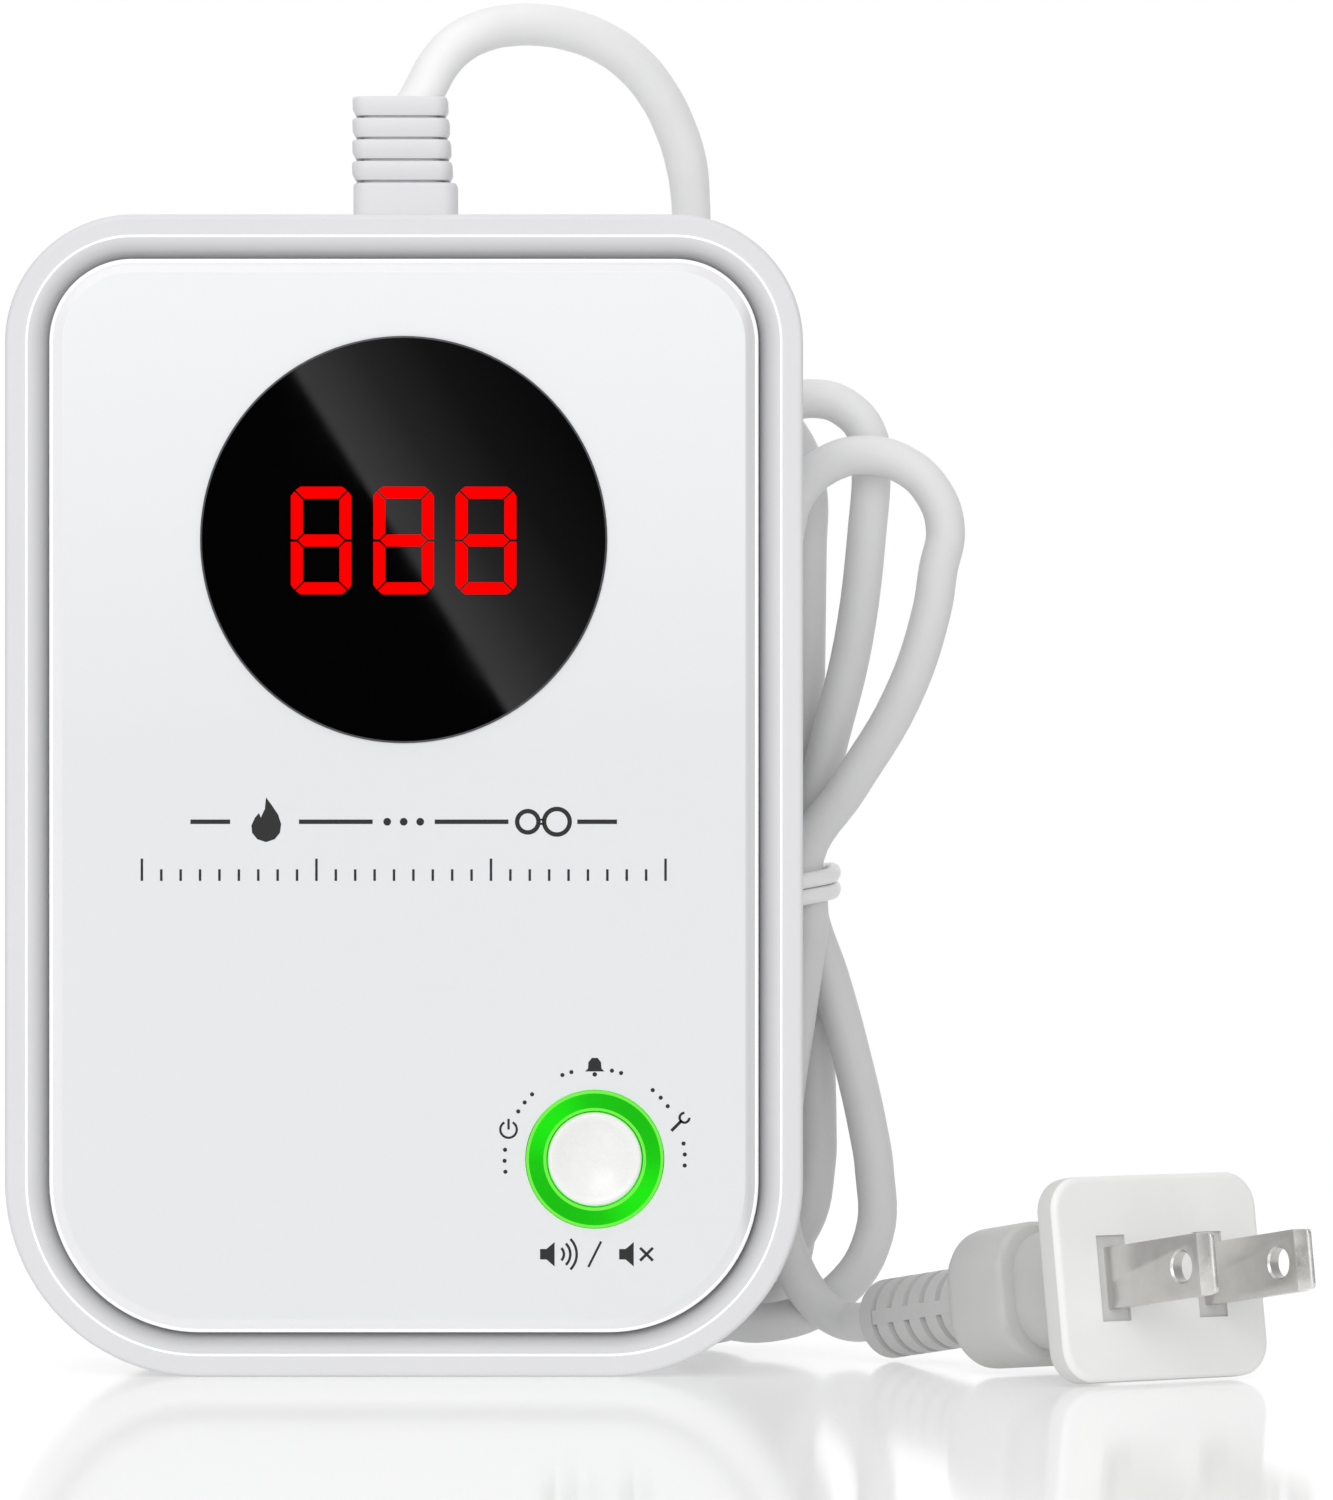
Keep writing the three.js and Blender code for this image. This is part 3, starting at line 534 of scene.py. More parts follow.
def plated(name, base, dark, roughness, line, along, uneven=1.0):
    """A brushed or rolled metal: fine lines in one direction and small tarnished clouds."""
    material, tree, bsdf, where = new_material(name, {"Metallic": 1.0})
    stretch = add_node(tree, "ShaderNodeMapping", {"Scale": along}, {"Vector": where})
    lines = add_node(
        tree, "ShaderNodeTexNoise", {"Scale": per_metre(line), "Detail": 5.0},
        {"Vector": stretch.outputs["Vector"]})
    cloud = add_node(
        tree, "ShaderNodeTexNoise", {"Scale": per_metre(2.5), "Detail": 4.0}, {"Vector": where})
    both = add_node(
        tree, "ShaderNodeMath", {"operation": "ADD"}, {0: lines.outputs["Fac"], 1: cloud.outputs["Fac"]})
    tone = add_node(tree, "ShaderNodeValToRGB", links={"Fac": cloud.outputs["Fac"]})
    set_stops(tone, [(0.32, dark), (0.62, base)])
    gloss = add_node(
        tree, "ShaderNodeMapRange",
        {"From Min": 0.7, "From Max": 1.3, "To Min": roughness - 0.07 * uneven,
         "To Max": roughness + 0.1 * uneven},
        {"Value": both.outputs["Value"]})
    relief = add_node(
        tree, "ShaderNodeBump", {"Strength": 0.25, "Distance": 0.02 * MM}, {"Height": lines.outputs["Fac"]})
    surface(tree, bsdf, tone, gloss, relief)
    return material


def srgb(code):
    """An sRGB hex value as a linear colour with full cover."""
    return (*linear(code), 1.0)


def white_abs_spark_textured():
    """White ABS from a spark-eroded mould. The fine grain keeps its rim a soft, even grey-white."""
    return moulded("white_abs_spark_textured", chosen_colour("case"), 0.985, 0.42, 0.35, 0.02)


def white_abs_groove():
    """The case's ABS inside its groove, painted darker towards the panel as painted shade, where the
    groove's walls shade it.
    """
    groove = moulded("white_abs_groove", chosen_colour("case"), 0.98, 0.45, 0.35, 0.02)
    # Painted shade: the groove's colour darkens with depth towards the panel.
    return deepen(groove, "Y", [(-RIM_LEVEL, 0.93), (-16.8, 0.83), (-16.3, 0.72), (-GROOVE_LEVEL, 0.62)])


def white_abs_polished():
    """White ABS that glows faintly, a painted highlight, so its bead and edges show as thin bright lines."""
    return moulded(
        "white_abs_polished", chosen_colour("painted_highlight_edge"), 0.99, 0.22, 0.8, 0.004,
        shader={"Emission Color": (1, 1, 1, 1), "Emission Strength": 0.12})


def panel_edge_polished():
    """The panel's sloped edge, glossier than its face. Painted shade darkens it towards the right-hand side.
    """
    edge = moulded("panel_edge_polished", srgb("#E9E9EB"), 0.99, 0.2, 0.8, 0.003)
    # Painted shade: the edge is darker on the right-hand side, where less light falls.
    return deepen(edge, "X", [(-37.0, 1.0), (34.6, 0.95), (35.6, 0.74), (37.0, 0.74)])


def panel_abs_satin():
    """Painted ABS with a satin coat, smooth and very slightly blue. Painted shade makes it a touch deeper in
    its lower half.
    """
    panel = moulded(
        "panel_abs_satin", chosen_colour("panel"), 0.995, 0.32, 0.4, 0.0006, cloud=40.0, uneven=0.25,
        shader={"Coat Weight": 0.2, "Coat Roughness": 0.14})
    # Painted shade: the panel darkens towards its lower edge, as under a light from above.
    return deepen(panel, "Z", [(64.0, 0.888), (90.0, 0.945), (112.0, 0.99)])


def grey_abs_spark_textured():
    """Off-white ABS with a coarser mould texture, as on a rear cover. It looks matt and a little darker."""
    return moulded("grey_abs_spark_textured", srgb("#DEDFE2"), 0.97, 0.5, 0.6, 0.05)


def acrylic_smoked_polished():
    """Smoked acrylic, polished. Nearly black, with a sharp reflection and faint wiping marks."""
    material, tree, bsdf, where = new_material(
        "acrylic_smoked_polished", {"Base Color": chosen_colour("lens"), "IOR": 1.49})
    smear = add_node(
        tree, "ShaderNodeTexNoise", {"Scale": per_metre(9.0), "Detail": 5.0}, {"Vector": where})
    gloss = add_node(
        tree, "ShaderNodeMapRange", {"From Min": 0.35, "From Max": 0.75, "To Min": 0.01, "To Max": 0.03},
        {"Value": smear.outputs["Fac"]})
    tree.links.new(gloss.outputs["Result"], bsdf.inputs["Roughness"])
    return material


def acrylic_edge_ground():
    """The ground edge of the lens. It is finely frosted, so it shows as a thin grey line."""
    return moulded("acrylic_edge_ground", srgb("#4A4A4E"), 0.8, 0.45, 0.25, 0.02)


def lit_segments_red():
    """Lit figures behind the lens: an even saturated red with a faint diffuser grain."""
    return moulded(
        "lit_segments_red", srgb("#200000"), 0.9, 0.4, 0.3, 0.002,
        shader={"Emission Color": chosen_colour("figures"), "Emission Strength": 1.0,
                "Specular IOR Level": 0.0})


def green_acrylic_lit(middle):
    """Diffusing green acrylic, lit from behind by two lamps. It glows brightest beside each of them."""
    ring = moulded(
        "green_acrylic_lit", srgb("#052E00"), 0.9, 0.25, 0.4, 0.003,
        shader={"Emission Strength": 0.9, "Specular IOR Level": 0.1})
    tree = ring.node_tree
    bsdf = next(node for node in tree.nodes if node.type == "BSDF_PRINCIPLED")
    where = add_node(tree, "ShaderNodeTexCoord")
    away = add_node(tree, "ShaderNodeVectorMath", {"operation": "SUBTRACT", 1: middle * MM},
                    {0: where.outputs["Object"]})
    unit = add_node(tree, "ShaderNodeVectorMath", {"operation": "NORMALIZE"}, {0: away.outputs["Vector"]})
    lamps = add_node(tree, "ShaderNodeVectorMath", {"operation": "DOT_PRODUCT", 1: (-0.766, 0.0, 0.643)},
                     {0: unit.outputs["Vector"]})
    both = add_node(tree, "ShaderNodeMath", {"operation": "POWER", 1: 2.0}, {0: lamps.outputs["Value"]})
    glow = add_node(tree, "ShaderNodeValToRGB", links={"Fac": both.outputs["Value"]})
    bright = chosen_colour("light_ring")
    set_stops(glow, [(0.0, dimmed(bright, 0.62)), (0.55, dimmed(bright, 0.7)), (1.0, bright)])
    tree.links.new(glow.outputs["Color"], bsdf.inputs["Emission Color"])
    return ring


def green_acrylic_edge():
    """The ring's rounded edges. Light leaves them more freely, so they show as fine pale green lines."""
    return moulded(
        "green_acrylic_edge", srgb("#2C5A10"), 0.9, 0.2, 0.4, 0.003,
        shader={"Emission Color": srgb("#7CFF52"), "Emission Strength": 0.8, "Specular IOR Level": 0.1})


def button_abs_gloss():
    """Glossy white ABS, worn smooth by fingers, so its dish shows a soft round gradient."""
    return moulded("button_abs_gloss", chosen_colour("button"), 0.985, 0.24, 0.7, 0.004)


def screen_ink_black():
    """Black screen-printing ink: flat, matt and a little uneven."""
    return moulded("screen_ink_black", chosen_colour("ink"), 0.8, 0.6, 0.15, 0.006)


def relief_pvc_moulded():
    """Soft PVC moulded over the cord. Matt, with a faint grain."""
    return moulded("relief_pvc_moulded", chosen_colour("relief"), 0.97, 0.5, 0.4, 0.02)


def plug_pvc_moulded():
    """Soft PVC moulded round the blades. Matt off-white with flow marks and light handling marks, set darker
    than the face plate as painted shade.
    """
    return moulded("plug_pvc_moulded", chosen_colour("plug"), 0.955, 0.46, 0.5, 0.03, cloud=7.0)


def insert_pbt_moulded():
    """The harder insert that holds the blades. A shade greyer and smoother than the plug round it."""
    return moulded("insert_pbt_moulded", srgb("#CFCFCE"), 0.96, 0.38, 0.4, 0.01)


def plate_rim_moulded():
    """The plate's rim, left matt where the mould parts. Its sides are painted a shade darker than the
    pressed face, as painted shade.
    """
    return moulded("plate_rim_moulded", srgb("#DADAD9"), 0.96, 0.5, 0.5, 0.03, cloud=6.0)


def plate_pvc_moulded():
    """The plug's face plate, the same PVC as its body, pressed smoother. It is set lighter than the body as
    painted light.
    """
    return moulded("plate_pvc_moulded", chosen_colour("plug_face"), 0.975, 0.42, 0.5, 0.015, cloud=9.0)


def tie_pvc_wrapped():
    """The flexible PVC skin of a wire tie. Whiter and glossier than the cord it holds."""
    return moulded("tie_pvc_wrapped", srgb("#F6F6F6"), 0.97, 0.35, 0.5, 0.01)


def cord_pvc_extruded():
    """Extruded PVC. A satin skin with very faint lines along it, drawn coarser than real so they show. Lower
    down, painted shade darkens it.
    """
    material, tree, bsdf, where = new_material(
        "cord_pvc_extruded", {"IOR": 1.5, "Specular IOR Level": 0.35})
    base = chosen_colour("cord")
    drift = add_node(
        tree, "ShaderNodeTexNoise", {"Scale": per_metre(14.0), "Detail": 3.0}, {"Vector": where})
    tone = add_node(tree, "ShaderNodeValToRGB", links={"Fac": drift.outputs["Fac"]})
    set_stops(tone, [(0.3, dimmed(base, 0.95)), (0.7, base)])
    fine = add_node(tree, "ShaderNodeTexNoise", {"Scale": per_metre(0.6), "Detail": 3.0}, {"Vector": where})
    gloss = add_node(
        tree, "ShaderNodeMapRange", {"From Min": 0.3, "From Max": 0.7, "To Min": 0.4, "To Max": 0.55},
        {"Value": fine.outputs["Fac"]})
    relief = add_node(
        tree, "ShaderNodeBump", {"Strength": 0.3, "Distance": 0.015 * MM}, {"Height": fine.outputs["Fac"]})
    surface(tree, bsdf, tone, gloss, relief)
    # Painted shade: the cord darkens lower down, where the case shades the hank.
    return deepen(material, "Z", [(20.0, 0.78), (80.0, 0.83), (112.0, 1.0)])


def brass_nickel_plated():
    """Brass strip, stamped and nickel plated. An even warm grey with fine rolling lines along it."""
    return plated(
        "brass_nickel_plated", chosen_colour("blades"), srgb("#CFCDCA"), 0.36, 0.5, (0.25, 0.25, 1.6),
        uneven=0.3)


def brass_nickel_coined():
    """The same plating on the blades' pressed tips. The press leaves it smoother, so it shines brighter."""
    return plated("brass_nickel_coined", srgb("#F6F5F2"), srgb("#E2E0DC"), 0.2, 0.4, (1.0, 1.0, 1.0))


def board_laminate_masked():
    """Glass-epoxy board under green solder mask: glossy, with the weave showing as a faint check."""
    material, tree, bsdf, where = new_material("board_laminate_masked", {"IOR": 1.5})
    weave = add_node(
        tree, "ShaderNodeTexChecker",
        {"Scale": per_metre(0.8), "Color1": srgb("#1C5A33"), "Color2": srgb("#205F38")}, {"Vector": where})
    cloud = add_node(
        tree, "ShaderNodeTexNoise", {"Scale": per_metre(6.0), "Detail": 3.0}, {"Vector": where})
    gloss = add_node(
        tree, "ShaderNodeMapRange", {"From Min": 0.3, "From Max": 0.7, "To Min": 0.25, "To Max": 0.4},
        {"Value": cloud.outputs["Fac"]})
    tree.links.new(weave.outputs["Color"], bsdf.inputs["Base Color"])
    tree.links.new(gloss.outputs["Result"], bsdf.inputs["Roughness"])
    return material


def inner_finishes():
    """The finishes of the solids inside the case, by the record's material slot."""
    fine_mesh = (1.0, 1.0, 1.0)
    return {
        "foam_tape": moulded("foam_tape_cut", srgb("#26282A"), 0.8, 0.85, 0.3, 0.08),
        "black_plastic": moulded("black_pbt_moulded", srgb("#161719"), 0.85, 0.45, 0.3, 0.02),
        "clear_epoxy": moulded("clear_epoxy_cast", srgb("#E8ECD8"), 0.95, 0.15, 0.8, 0.004),
        "board_laminate": board_laminate_masked(),
        "screw_steel": plated("steel_zinc_plated", srgb("#AEB2B6"), srgb("#8C9195"), 0.34, 0.3, fine_mesh),
        "ferrite": moulded("ferrite_sintered", srgb("#3A3B3F"), 0.85, 0.7, 0.3, 0.04),
        "yellow_tape": moulded("polyester_tape_wound", srgb("#D8B43A"), 0.92, 0.4, 1.2, 0.02),
        "blue_epoxy": moulded("epoxy_dipped_blue", srgb("#2C56A8"), 0.9, 0.3, 0.7, 0.03),
        "can_aluminium": plated("aluminium_drawn", srgb("#C2C5C9"), srgb("#A9ADB1"), 0.3, 0.4, (1, 1, 0.1)),
        "mesh_steel": plated("steel_mesh_woven", srgb("#B4B6B8"), srgb("#7F8285"), 0.4, 0.15, fine_mesh),
        "brown_lead": moulded("pvc_lead_brown", srgb("#5D3A22"), 0.9, 0.45, 0.5, 0.01),
        "blue_lead": moulded("pvc_lead_blue", srgb("#2D62B8"), 0.9, 0.45, 0.5, 0.01),
        "black_button": moulded("black_pom_moulded", srgb("#1A1A1C"), 0.85, 0.35, 0.4, 0.01),
    }


# The cord's route ------------------------------------------------------------------------------------

def touch_point(outside, centre, radius, side):
    """Where a straight run from a point touches a loop's circle, on its left (-1) or right (+1)."""
    away = Vector(outside) - Vector(centre)
    half = math.acos(radius / away.length)
    middle = math.atan2(away.y, away.x)
    found = [
        Vector(centre) + radius * Vector((math.cos(middle + turn), math.sin(middle + turn)))
        for turn in (half, -half)]
    return max(found, key=lambda point: point.x * side)


def smooth(share):
    """Eases a share of 0 to 1 in and out."""
    return share * share * (3 - 2 * share)


def loop_points(start, end, circle, upper, layers, pinched):
    """One loop of the hank, clockwise from the front, passing from one layer to the next."""
    centre, radius = Vector(circle[:2]), circle[2]
    first_side = -1 if upper else 1
    first = touch_point(start, centre, radius, first_side)
    last = touch_point(end, centre, radius, -first_side)
    turn_from = math.atan2(first.y - centre.y, first.x - centre.x)
    turn_to = math.atan2(last.y - centre.y, last.x - centre.x)
    while turn_to > turn_from:
        turn_to -= 2 * math.pi
    count = max(5, round((turn_from - turn_to) / math.radians(30)))
    bows, still = [Vector((bow, 0)) for bow in circle[3:]], [Vector((0, 0))] * 3
    leaving, returning = (still, reversed(bows)) if upper else (bows, still)
    flat = [Vector(start).lerp(first, share) + bow for share, bow in zip((0.25, 0.55, 0.85), leaving)]
    for step in range(count + 1):
        turn = turn_from + (turn_to - turn_from) * step / count
        flat.append(centre + radius * Vector((math.cos(turn), math.sin(turn))))
    flat += [last.lerp(Vector(end), share) + bow for share, bow in zip((0.15, 0.45, 0.75), returning)]
    line = [Vector(start), *flat, Vector(end)]
    runs = [(after - before).length for before, after in zip(line, line[1:])]
    whole, gone, points = sum(runs), 0.0, []
    for point, run in zip(flat, runs):
        gone += run
        near_start, near_end = (smooth(max(0.0, 1 - way / 22)) for way in (gone, whole - gone))
        depth = layers[0] + (layers[1] - layers[0]) * smooth(gone / whole)
        depth += (pinched[0] - depth) * near_start + (pinched[1] - depth) * near_end
        points.append((point.x, depth, point.y))
    return points


def cord_route():
    """All of the cord's points, from the strain relief over the arch, round the hank and to the plug."""
    low, high = TIE_HEIGHT - TIE_HALF, TIE_HEIGHT + TIE_HALF
    layer = [HANK_FRONT + HANK_PITCH * at for at in range(5)]
    pinched = [PINCHED_FRONT + PINCHED_PITCH * at for at in range(5)]
    route = ARCH + BEHIND_CASE
    entry = TIE_MIDDLE
    route += [(entry, pinched[4], high), (entry, pinched[4], low)]
    for turn, (below, above) in enumerate(zip(LOW_LOOPS, HIGH_LOOPS)):
        back, front = 4 - turn, 3 - turn
        route += loop_points(
            (entry, low), (TIE_LEFT, low), below, False,
            (layer[back], layer[front]), (pinched[back], pinched[front]))
        route += [(TIE_LEFT, pinched[front], low), (TIE_LEFT, pinched[front], high)]
        route += loop_points(
            (TIE_LEFT, high), (TIE_RIGHT, high), above, True,
            (layer[front], layer[front]), (pinched[front], pinched[front]))
        route += [(TIE_RIGHT, pinched[front], high), (TIE_RIGHT + 0.5, pinched[front], low)]
        entry = TIE_RIGHT
    return [Vector(point) * MM for point in route + TAIL]


def tube(name, points, radius, closed=False, sides=8, steps=6):
    """A round tube along smooth points, as one curve."""
    data = bpy.data.curves.new(name, "CURVE")
    data.dimensions = "3D"
    data.resolution_u = steps
    data.bevel_depth = radius
    data.bevel_resolution = sides
    data.use_fill_caps = not closed
    line = data.splines.new("BEZIER")
    line.bezier_points.add(len(points) - 1)
    for point, at in zip(line.bezier_points, points):
        point.co = at
        point.handle_left_type = point.handle_right_type = "AUTO"
    line.use_cyclic_u = closed
    piece = bpy.data.objects.new(name, data)
    bpy.context.collection.objects.link(piece)
    return piece


def route_length(points):
    """Length of the smooth line through the points, by short chords of its curve."""
    piece = tube("measure", points, 0.0)
    data = piece.to_mesh()
    along = sum((data.vertices[edge.vertices[0]].co - data.vertices[edge.vertices[1]].co).length
                for edge in data.edges)
    piece.to_mesh_clear()
    bpy.data.objects.remove(piece)
    return along


# Operators, one for each piece or group of like pieces -----------------------------------------------

class DETECTOR_OT_studio(bpy.types.Operator):
    """Sets up the camera, the pale floor and the soft light."""
    bl_idname = "detector.studio"
    bl_label = "Studio"

    def execute(self, context):
        scene = context.scene
        scene.view_settings.view_transform = "Standard"
        self.camera(scene)
        self.floor()
        self.daylight(scene)
        self.lamp("front_softbox", (-0.35, -1.8, 1.0), 1.1, 9.0)
        self.lamp("top_softbox", (-0.1, -0.1, 1.5), 1.0, 4.0)
        self.reflection_card()
        return {"FINISHED"}

    def camera(self, scene):
        """Level with the middle of the frame, one metre in front of the face."""
        data = bpy.data.cameras.new("camera")
        data.lens = 232.8
        data.clip_start = 0.05
        camera = bpy.data.objects.new("camera", data)
        camera.location = (0.0271, -1.018, 0.0647)
        camera.rotation_euler = (QUARTER, 0, 0)
        scene.collection.objects.link(camera)
        scene.camera = camera

    def lamp(self, name, at, side, watts):
        """A square soft light that faces the detector."""
        data = bpy.data.lights.new(name, "AREA")
        data.shape = "SQUARE"
        data.size = side
        data.energy = watts
        light = bpy.data.objects.new(name, data)
        light.location = at
        aim = Vector((0.02, 0.0, 0.06)) - Vector(at)
        light.rotation_euler = aim.to_track_quat("-Z", "Y").to_euler()
        light.visible_camera = False
        bpy.context.scene.collection.objects.link(light)

    def daylight(self, scene):
        """White for the camera; for lighting, bright in front and behind and softer at the sides."""
        world = bpy.data.worlds.new("studio_daylight")
        world.use_nodes = True
        tree = world.node_tree
        tree.nodes.clear()
        way = add_node(tree, "ShaderNodeTexCoord")
        parts = add_node(tree, "ShaderNodeSeparateXYZ", links={0: way.outputs["Generated"]})
        ahead = add_node(
            tree, "ShaderNodeMath", {"operation": "MULTIPLY"},
            {0: parts.outputs["Y"], 1: parts.outputs["Y"]})
        front = add_node(tree, "ShaderNodeMath", {"operation": "MULTIPLY_ADD", 1: 0.86, 2: 0.32},
                         {0: ahead.outputs["Value"]})
        left = add_node(tree, "ShaderNodeMath", {"operation": "MULTIPLY_ADD", 1: -0.02},
                        {0: parts.outputs["X"], 2: front.outputs["Value"]})
        above = add_node(tree, "ShaderNodeMath", {"operation": "MULTIPLY_ADD", 1: 0.2},
                         {0: parts.outputs["Z"], 2: left.outputs["Value"]})
        soft = add_node(tree, "ShaderNodeBackground", {"Color": (1, 1, 1, 1)},
                        {"Strength": above.outputs["Value"]})
        white = add_node(tree, "ShaderNodeBackground", {"Color": (1, 1, 1, 1), "Strength": 1.0})
        seen = add_node(tree, "ShaderNodeLightPath")
        mix = add_node(tree, "ShaderNodeMixShader", links={
            0: seen.outputs["Is Camera Ray"], 1: soft.outputs[0], 2: white.outputs[0]})
        add_node(tree, "ShaderNodeOutputWorld", links={"Surface": mix.outputs[0]})
        scene.world = world

    def floor(self):
        """A pale floor that shows a faint reflection near the detector and fades out round it."""
        leave_edit()
        bpy.ops.mesh.primitive_circle_add(vertices=64, radius=0.75, fill_type="NGON", location=(0.03, 0, 0))
        floor = bpy.context.object
        floor.name = "floor"
        bpy.ops.object.transform_apply(location=True, rotation=False, scale=False)
        material, tree = bare_material("floor_white_lacquered")
        where = add_node(tree, "ShaderNodeTexCoord")
        far = add_node(tree, "ShaderNodeVectorMath", {"operation": "LENGTH"}, {0: where.outputs["Object"]})
        fade = add_node(
            tree, "ShaderNodeMapRange",
            {"interpolation_type": "SMOOTHSTEP", "From Min": 0.2, "From Max": 0.6,
             "To Min": 0.0, "To Max": 1.0},
            {"Value": far.outputs["Value"]})
        matt = add_node(tree, "ShaderNodeBsdfDiffuse", {"Color": (0.97, 0.97, 0.97, 1)})
        gloss = add_node(tree, "ShaderNodeBsdfGlossy", {"Color": (1, 1, 1, 1), "Roughness": 0.09})
        glow = add_node(tree, "ShaderNodeEmission", {"Color": (1, 1, 1, 1), "Strength": 1.09})
        pale = add_node(tree, "ShaderNodeMixShader", {0: 0.5}, {1: matt.outputs[0], 2: glow.outputs[0]})
        both = add_node(tree, "ShaderNodeMixShader", {0: 0.38}, {1: pale.outputs[0], 2: gloss.outputs[0]})
        clear = add_node(tree, "ShaderNodeBsdfTransparent")
        mix = add_node(tree, "ShaderNodeMixShader", links={
            0: fade.outputs["Result"], 1: both.outputs[0], 2: clear.outputs[0]})
        add_node(tree, "ShaderNodeOutputMaterial", links={"Surface": mix.outputs[0]})
        floor.data.materials.append(material)

    def reflection_card(self):
        """A dark card in front with one bright slanting band, for the lens to reflect."""
        leave_edit()
        bpy.ops.mesh.primitive_plane_add(
            size=0.2, location=(-0.035, -1.3, 0.115), rotation=(-QUARTER, 0, 0))
        card = bpy.context.object
        card.name = "reflection_card"
        bpy.ops.object.transform_apply(location=True, rotation=True, scale=True)
        material, tree = bare_material("card_black_with_bright_band")
        where = add_node(tree, "ShaderNodeTexCoord")
        along = add_node(tree, "ShaderNodeVectorMath", {"operation": "DOT_PRODUCT", 1: (0.847, 0.0, 0.531)},
                         {0: where.outputs["Object"]})
        band = add_node(
            tree, "ShaderNodeMapRange",
            {"From Min": 0.0296, "From Max": 0.0776, "To Min": 0.0, "To Max": 1.0},
            {"Value": along.outputs["Value"]})
        ramp = add_node(tree, "ShaderNodeValToRGB", links={"Fac": band.outputs["Result"]})
        greys = ((0.0, 0.01), (0.03, 1.0), (0.34, 0.4), (0.64, 0.14), (1.0, 0.05))
        set_stops(ramp, [(at, (grey, grey, grey, 1)) for at, grey in greys])
        glow = add_node(tree, "ShaderNodeEmission", {"Strength": 1.1}, {"Color": ramp.outputs["Color"]})
        add_node(tree, "ShaderNodeOutputMaterial", links={"Surface": glow.outputs[0]})
        card.data.materials.append(material)
        card.visible_camera = False
        card.visible_diffuse = False
        card.visible_shadow = False


class DETECTOR_OT_cord(bpy.types.Operator):
    """Lays the cord from the strain relief over the arch, round the tied hank and into the plug."""
    bl_idname = "detector.cord"
    bl_label = "Cord"

    def execute(self, context):
        size = sizes("detector_cord")
        points = cord_route()
        cord = tube("mains_cord", points, size["diameter"] / 2 * MM)
        for point in cord.data.splines[0].bezier_points[:ARCH_SWELL_POINTS]:
            point.radius = ARCH_SWELL
        cord.data.materials.append(cord_pvc_extruded())
        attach(cord, DETECTOR)
        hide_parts("cord_arch", "cord_hank", "cord_tail")
        context.scene["cord_length"] = route_length(points)
        return {"FINISHED"}


class DETECTOR_OT_tie(bpy.types.Operator):
    """Winds the tie twice round the pinched hank."""
    bl_idname = "detector.tie"
    bl_label = "Tie"

    def execute(self, context):
        radius, low, climb, slant = 0.85, 2.1, 3.5, 1.0
        left, right = TIE_LEFT - 2.3 - radius, TIE_RIGHT + 2.3 + radius
        front, back = PINCHED_FRONT - 2.2 - radius, PINCHED_FRONT + 4 * PINCHED_PITCH + 2.15
        points, count, turns = [], 16, 2
        for step in range(count * turns + 1):
            turn = math.pi + 2 * math.pi * step / count
            share = step / (count * turns)
            across, depth = math.cos(turn), math.sin(turn)
            squared = (abs(across) ** 4 + abs(depth) ** 4) ** -0.25
            points.append(Vector((
                (left + right) / 2 + across * squared * (right - left) / 2,
                (front + back) / 2 + depth * squared * (back - front) / 2,
                TIE_HEIGHT - low + climb * share + slant * across)) * MM)
        tie = tube("hank_tie_wrap", points, radius * MM, sides=6, steps=4)
        take(tie)
        bpy.ops.object.convert(target="MESH")
        tie = bpy.context.object
        bpy.ops.object.mode_set(mode="EDIT")
        bpy.ops.mesh.select_all(action="SELECT")
        bpy.ops.mesh.remove_doubles(threshold=1e-6)
        bpy.ops.object.mode_set(mode="OBJECT")
        bpy.ops.object.shade_smooth()
        deliver(tie, "hank_tie_wrap", DETECTOR, [tie_pvc_wrapped()], ["hank_tie"])
        return {"FINISHED"}


class DETECTOR_OT_front_cover(bpy.types.Operator):
    """Models the front cover: rounded rim, thin bead, rolled groove and the deck behind the panel."""
    bl_idname = "detector.front_cover"
    bl_label = "Front cover"

    def execute(self, context):
        case, face = sizes("detector_case"), sizes("detector_face")
        cover = plate(
            "front_cover_shell", case["width"], case["height"], (case["low_round"], case["high_round"]))
        lift(PARTING_FRONT)
        rise(RIM_LEVEL - case["rim_round"] - PARTING_FRONT)
        round_over(case["rim_round"], 8)
        step_in(case["rim_flat"] - case["rim_round"] - 2 * SUPPORT)
        step_in(SUPPORT)
        for inwards, up in ((0.05, 0.09), (0.08, 0.03), (0.08, -0.03), (0.05, -0.09)):
            step_in(inwards, up)
        roll_down(case["panel_inset"] - case["rim_flat"] - 0.26, RIM_LEVEL - GROOVE_LEVEL, math.radians(68))
        step_in(SUPPORT)
        pick(cover, "FACE", lambda part: part.normal.z < -0.9)
        step_in(case["wall"])
        rise(DECK_BACK - PARTING_FRONT)
        stand_up(cover, 0, case["height"] / 2)
        middle, past = case["height"] / 2, 20.0
        turned = [
            rod("window", WINDOW_RADIUS, (face["lens_at"].x, face["lens_at"].z - middle, 0), past),
            rod("button_hole", COVER_RING_HOLE,
                (face["button_at"].x, face["button_at"].z - middle, 0), past)]
        for cutter in turned:
            stand_up(cutter, 0, middle)
        cut(cover, turned)
        finish_mesh(cover, 30)
        deliver(cover, "front_cover_shell", DETECTOR,
                [white_abs_spark_textured(), white_abs_polished(), white_abs_groove()], ["front_cover"])
        # The rim's bead faces get the glowing finish, a painted highlight.
        paint(cover, 1, lambda part: part.center.y < -(RIM_LEVEL + 0.02) * MM)
        # The groove's faces get the finish with painted shade.
        paint(cover, 2, self.in_groove)
        return {"FINISHED"}

    def in_groove(self, part):
        """Whether a face lies in the groove: below the rim, above the deck and looking forward or inward."""
        level = -part.center.y / MM
        inward = part.normal.x * part.center.x + part.normal.z * (part.center.z - 0.06) < 0
        return GROOVE_LEVEL - 0.05 < level < RIM_LEVEL - 0.002 and part.normal.y < -0.05 and inward


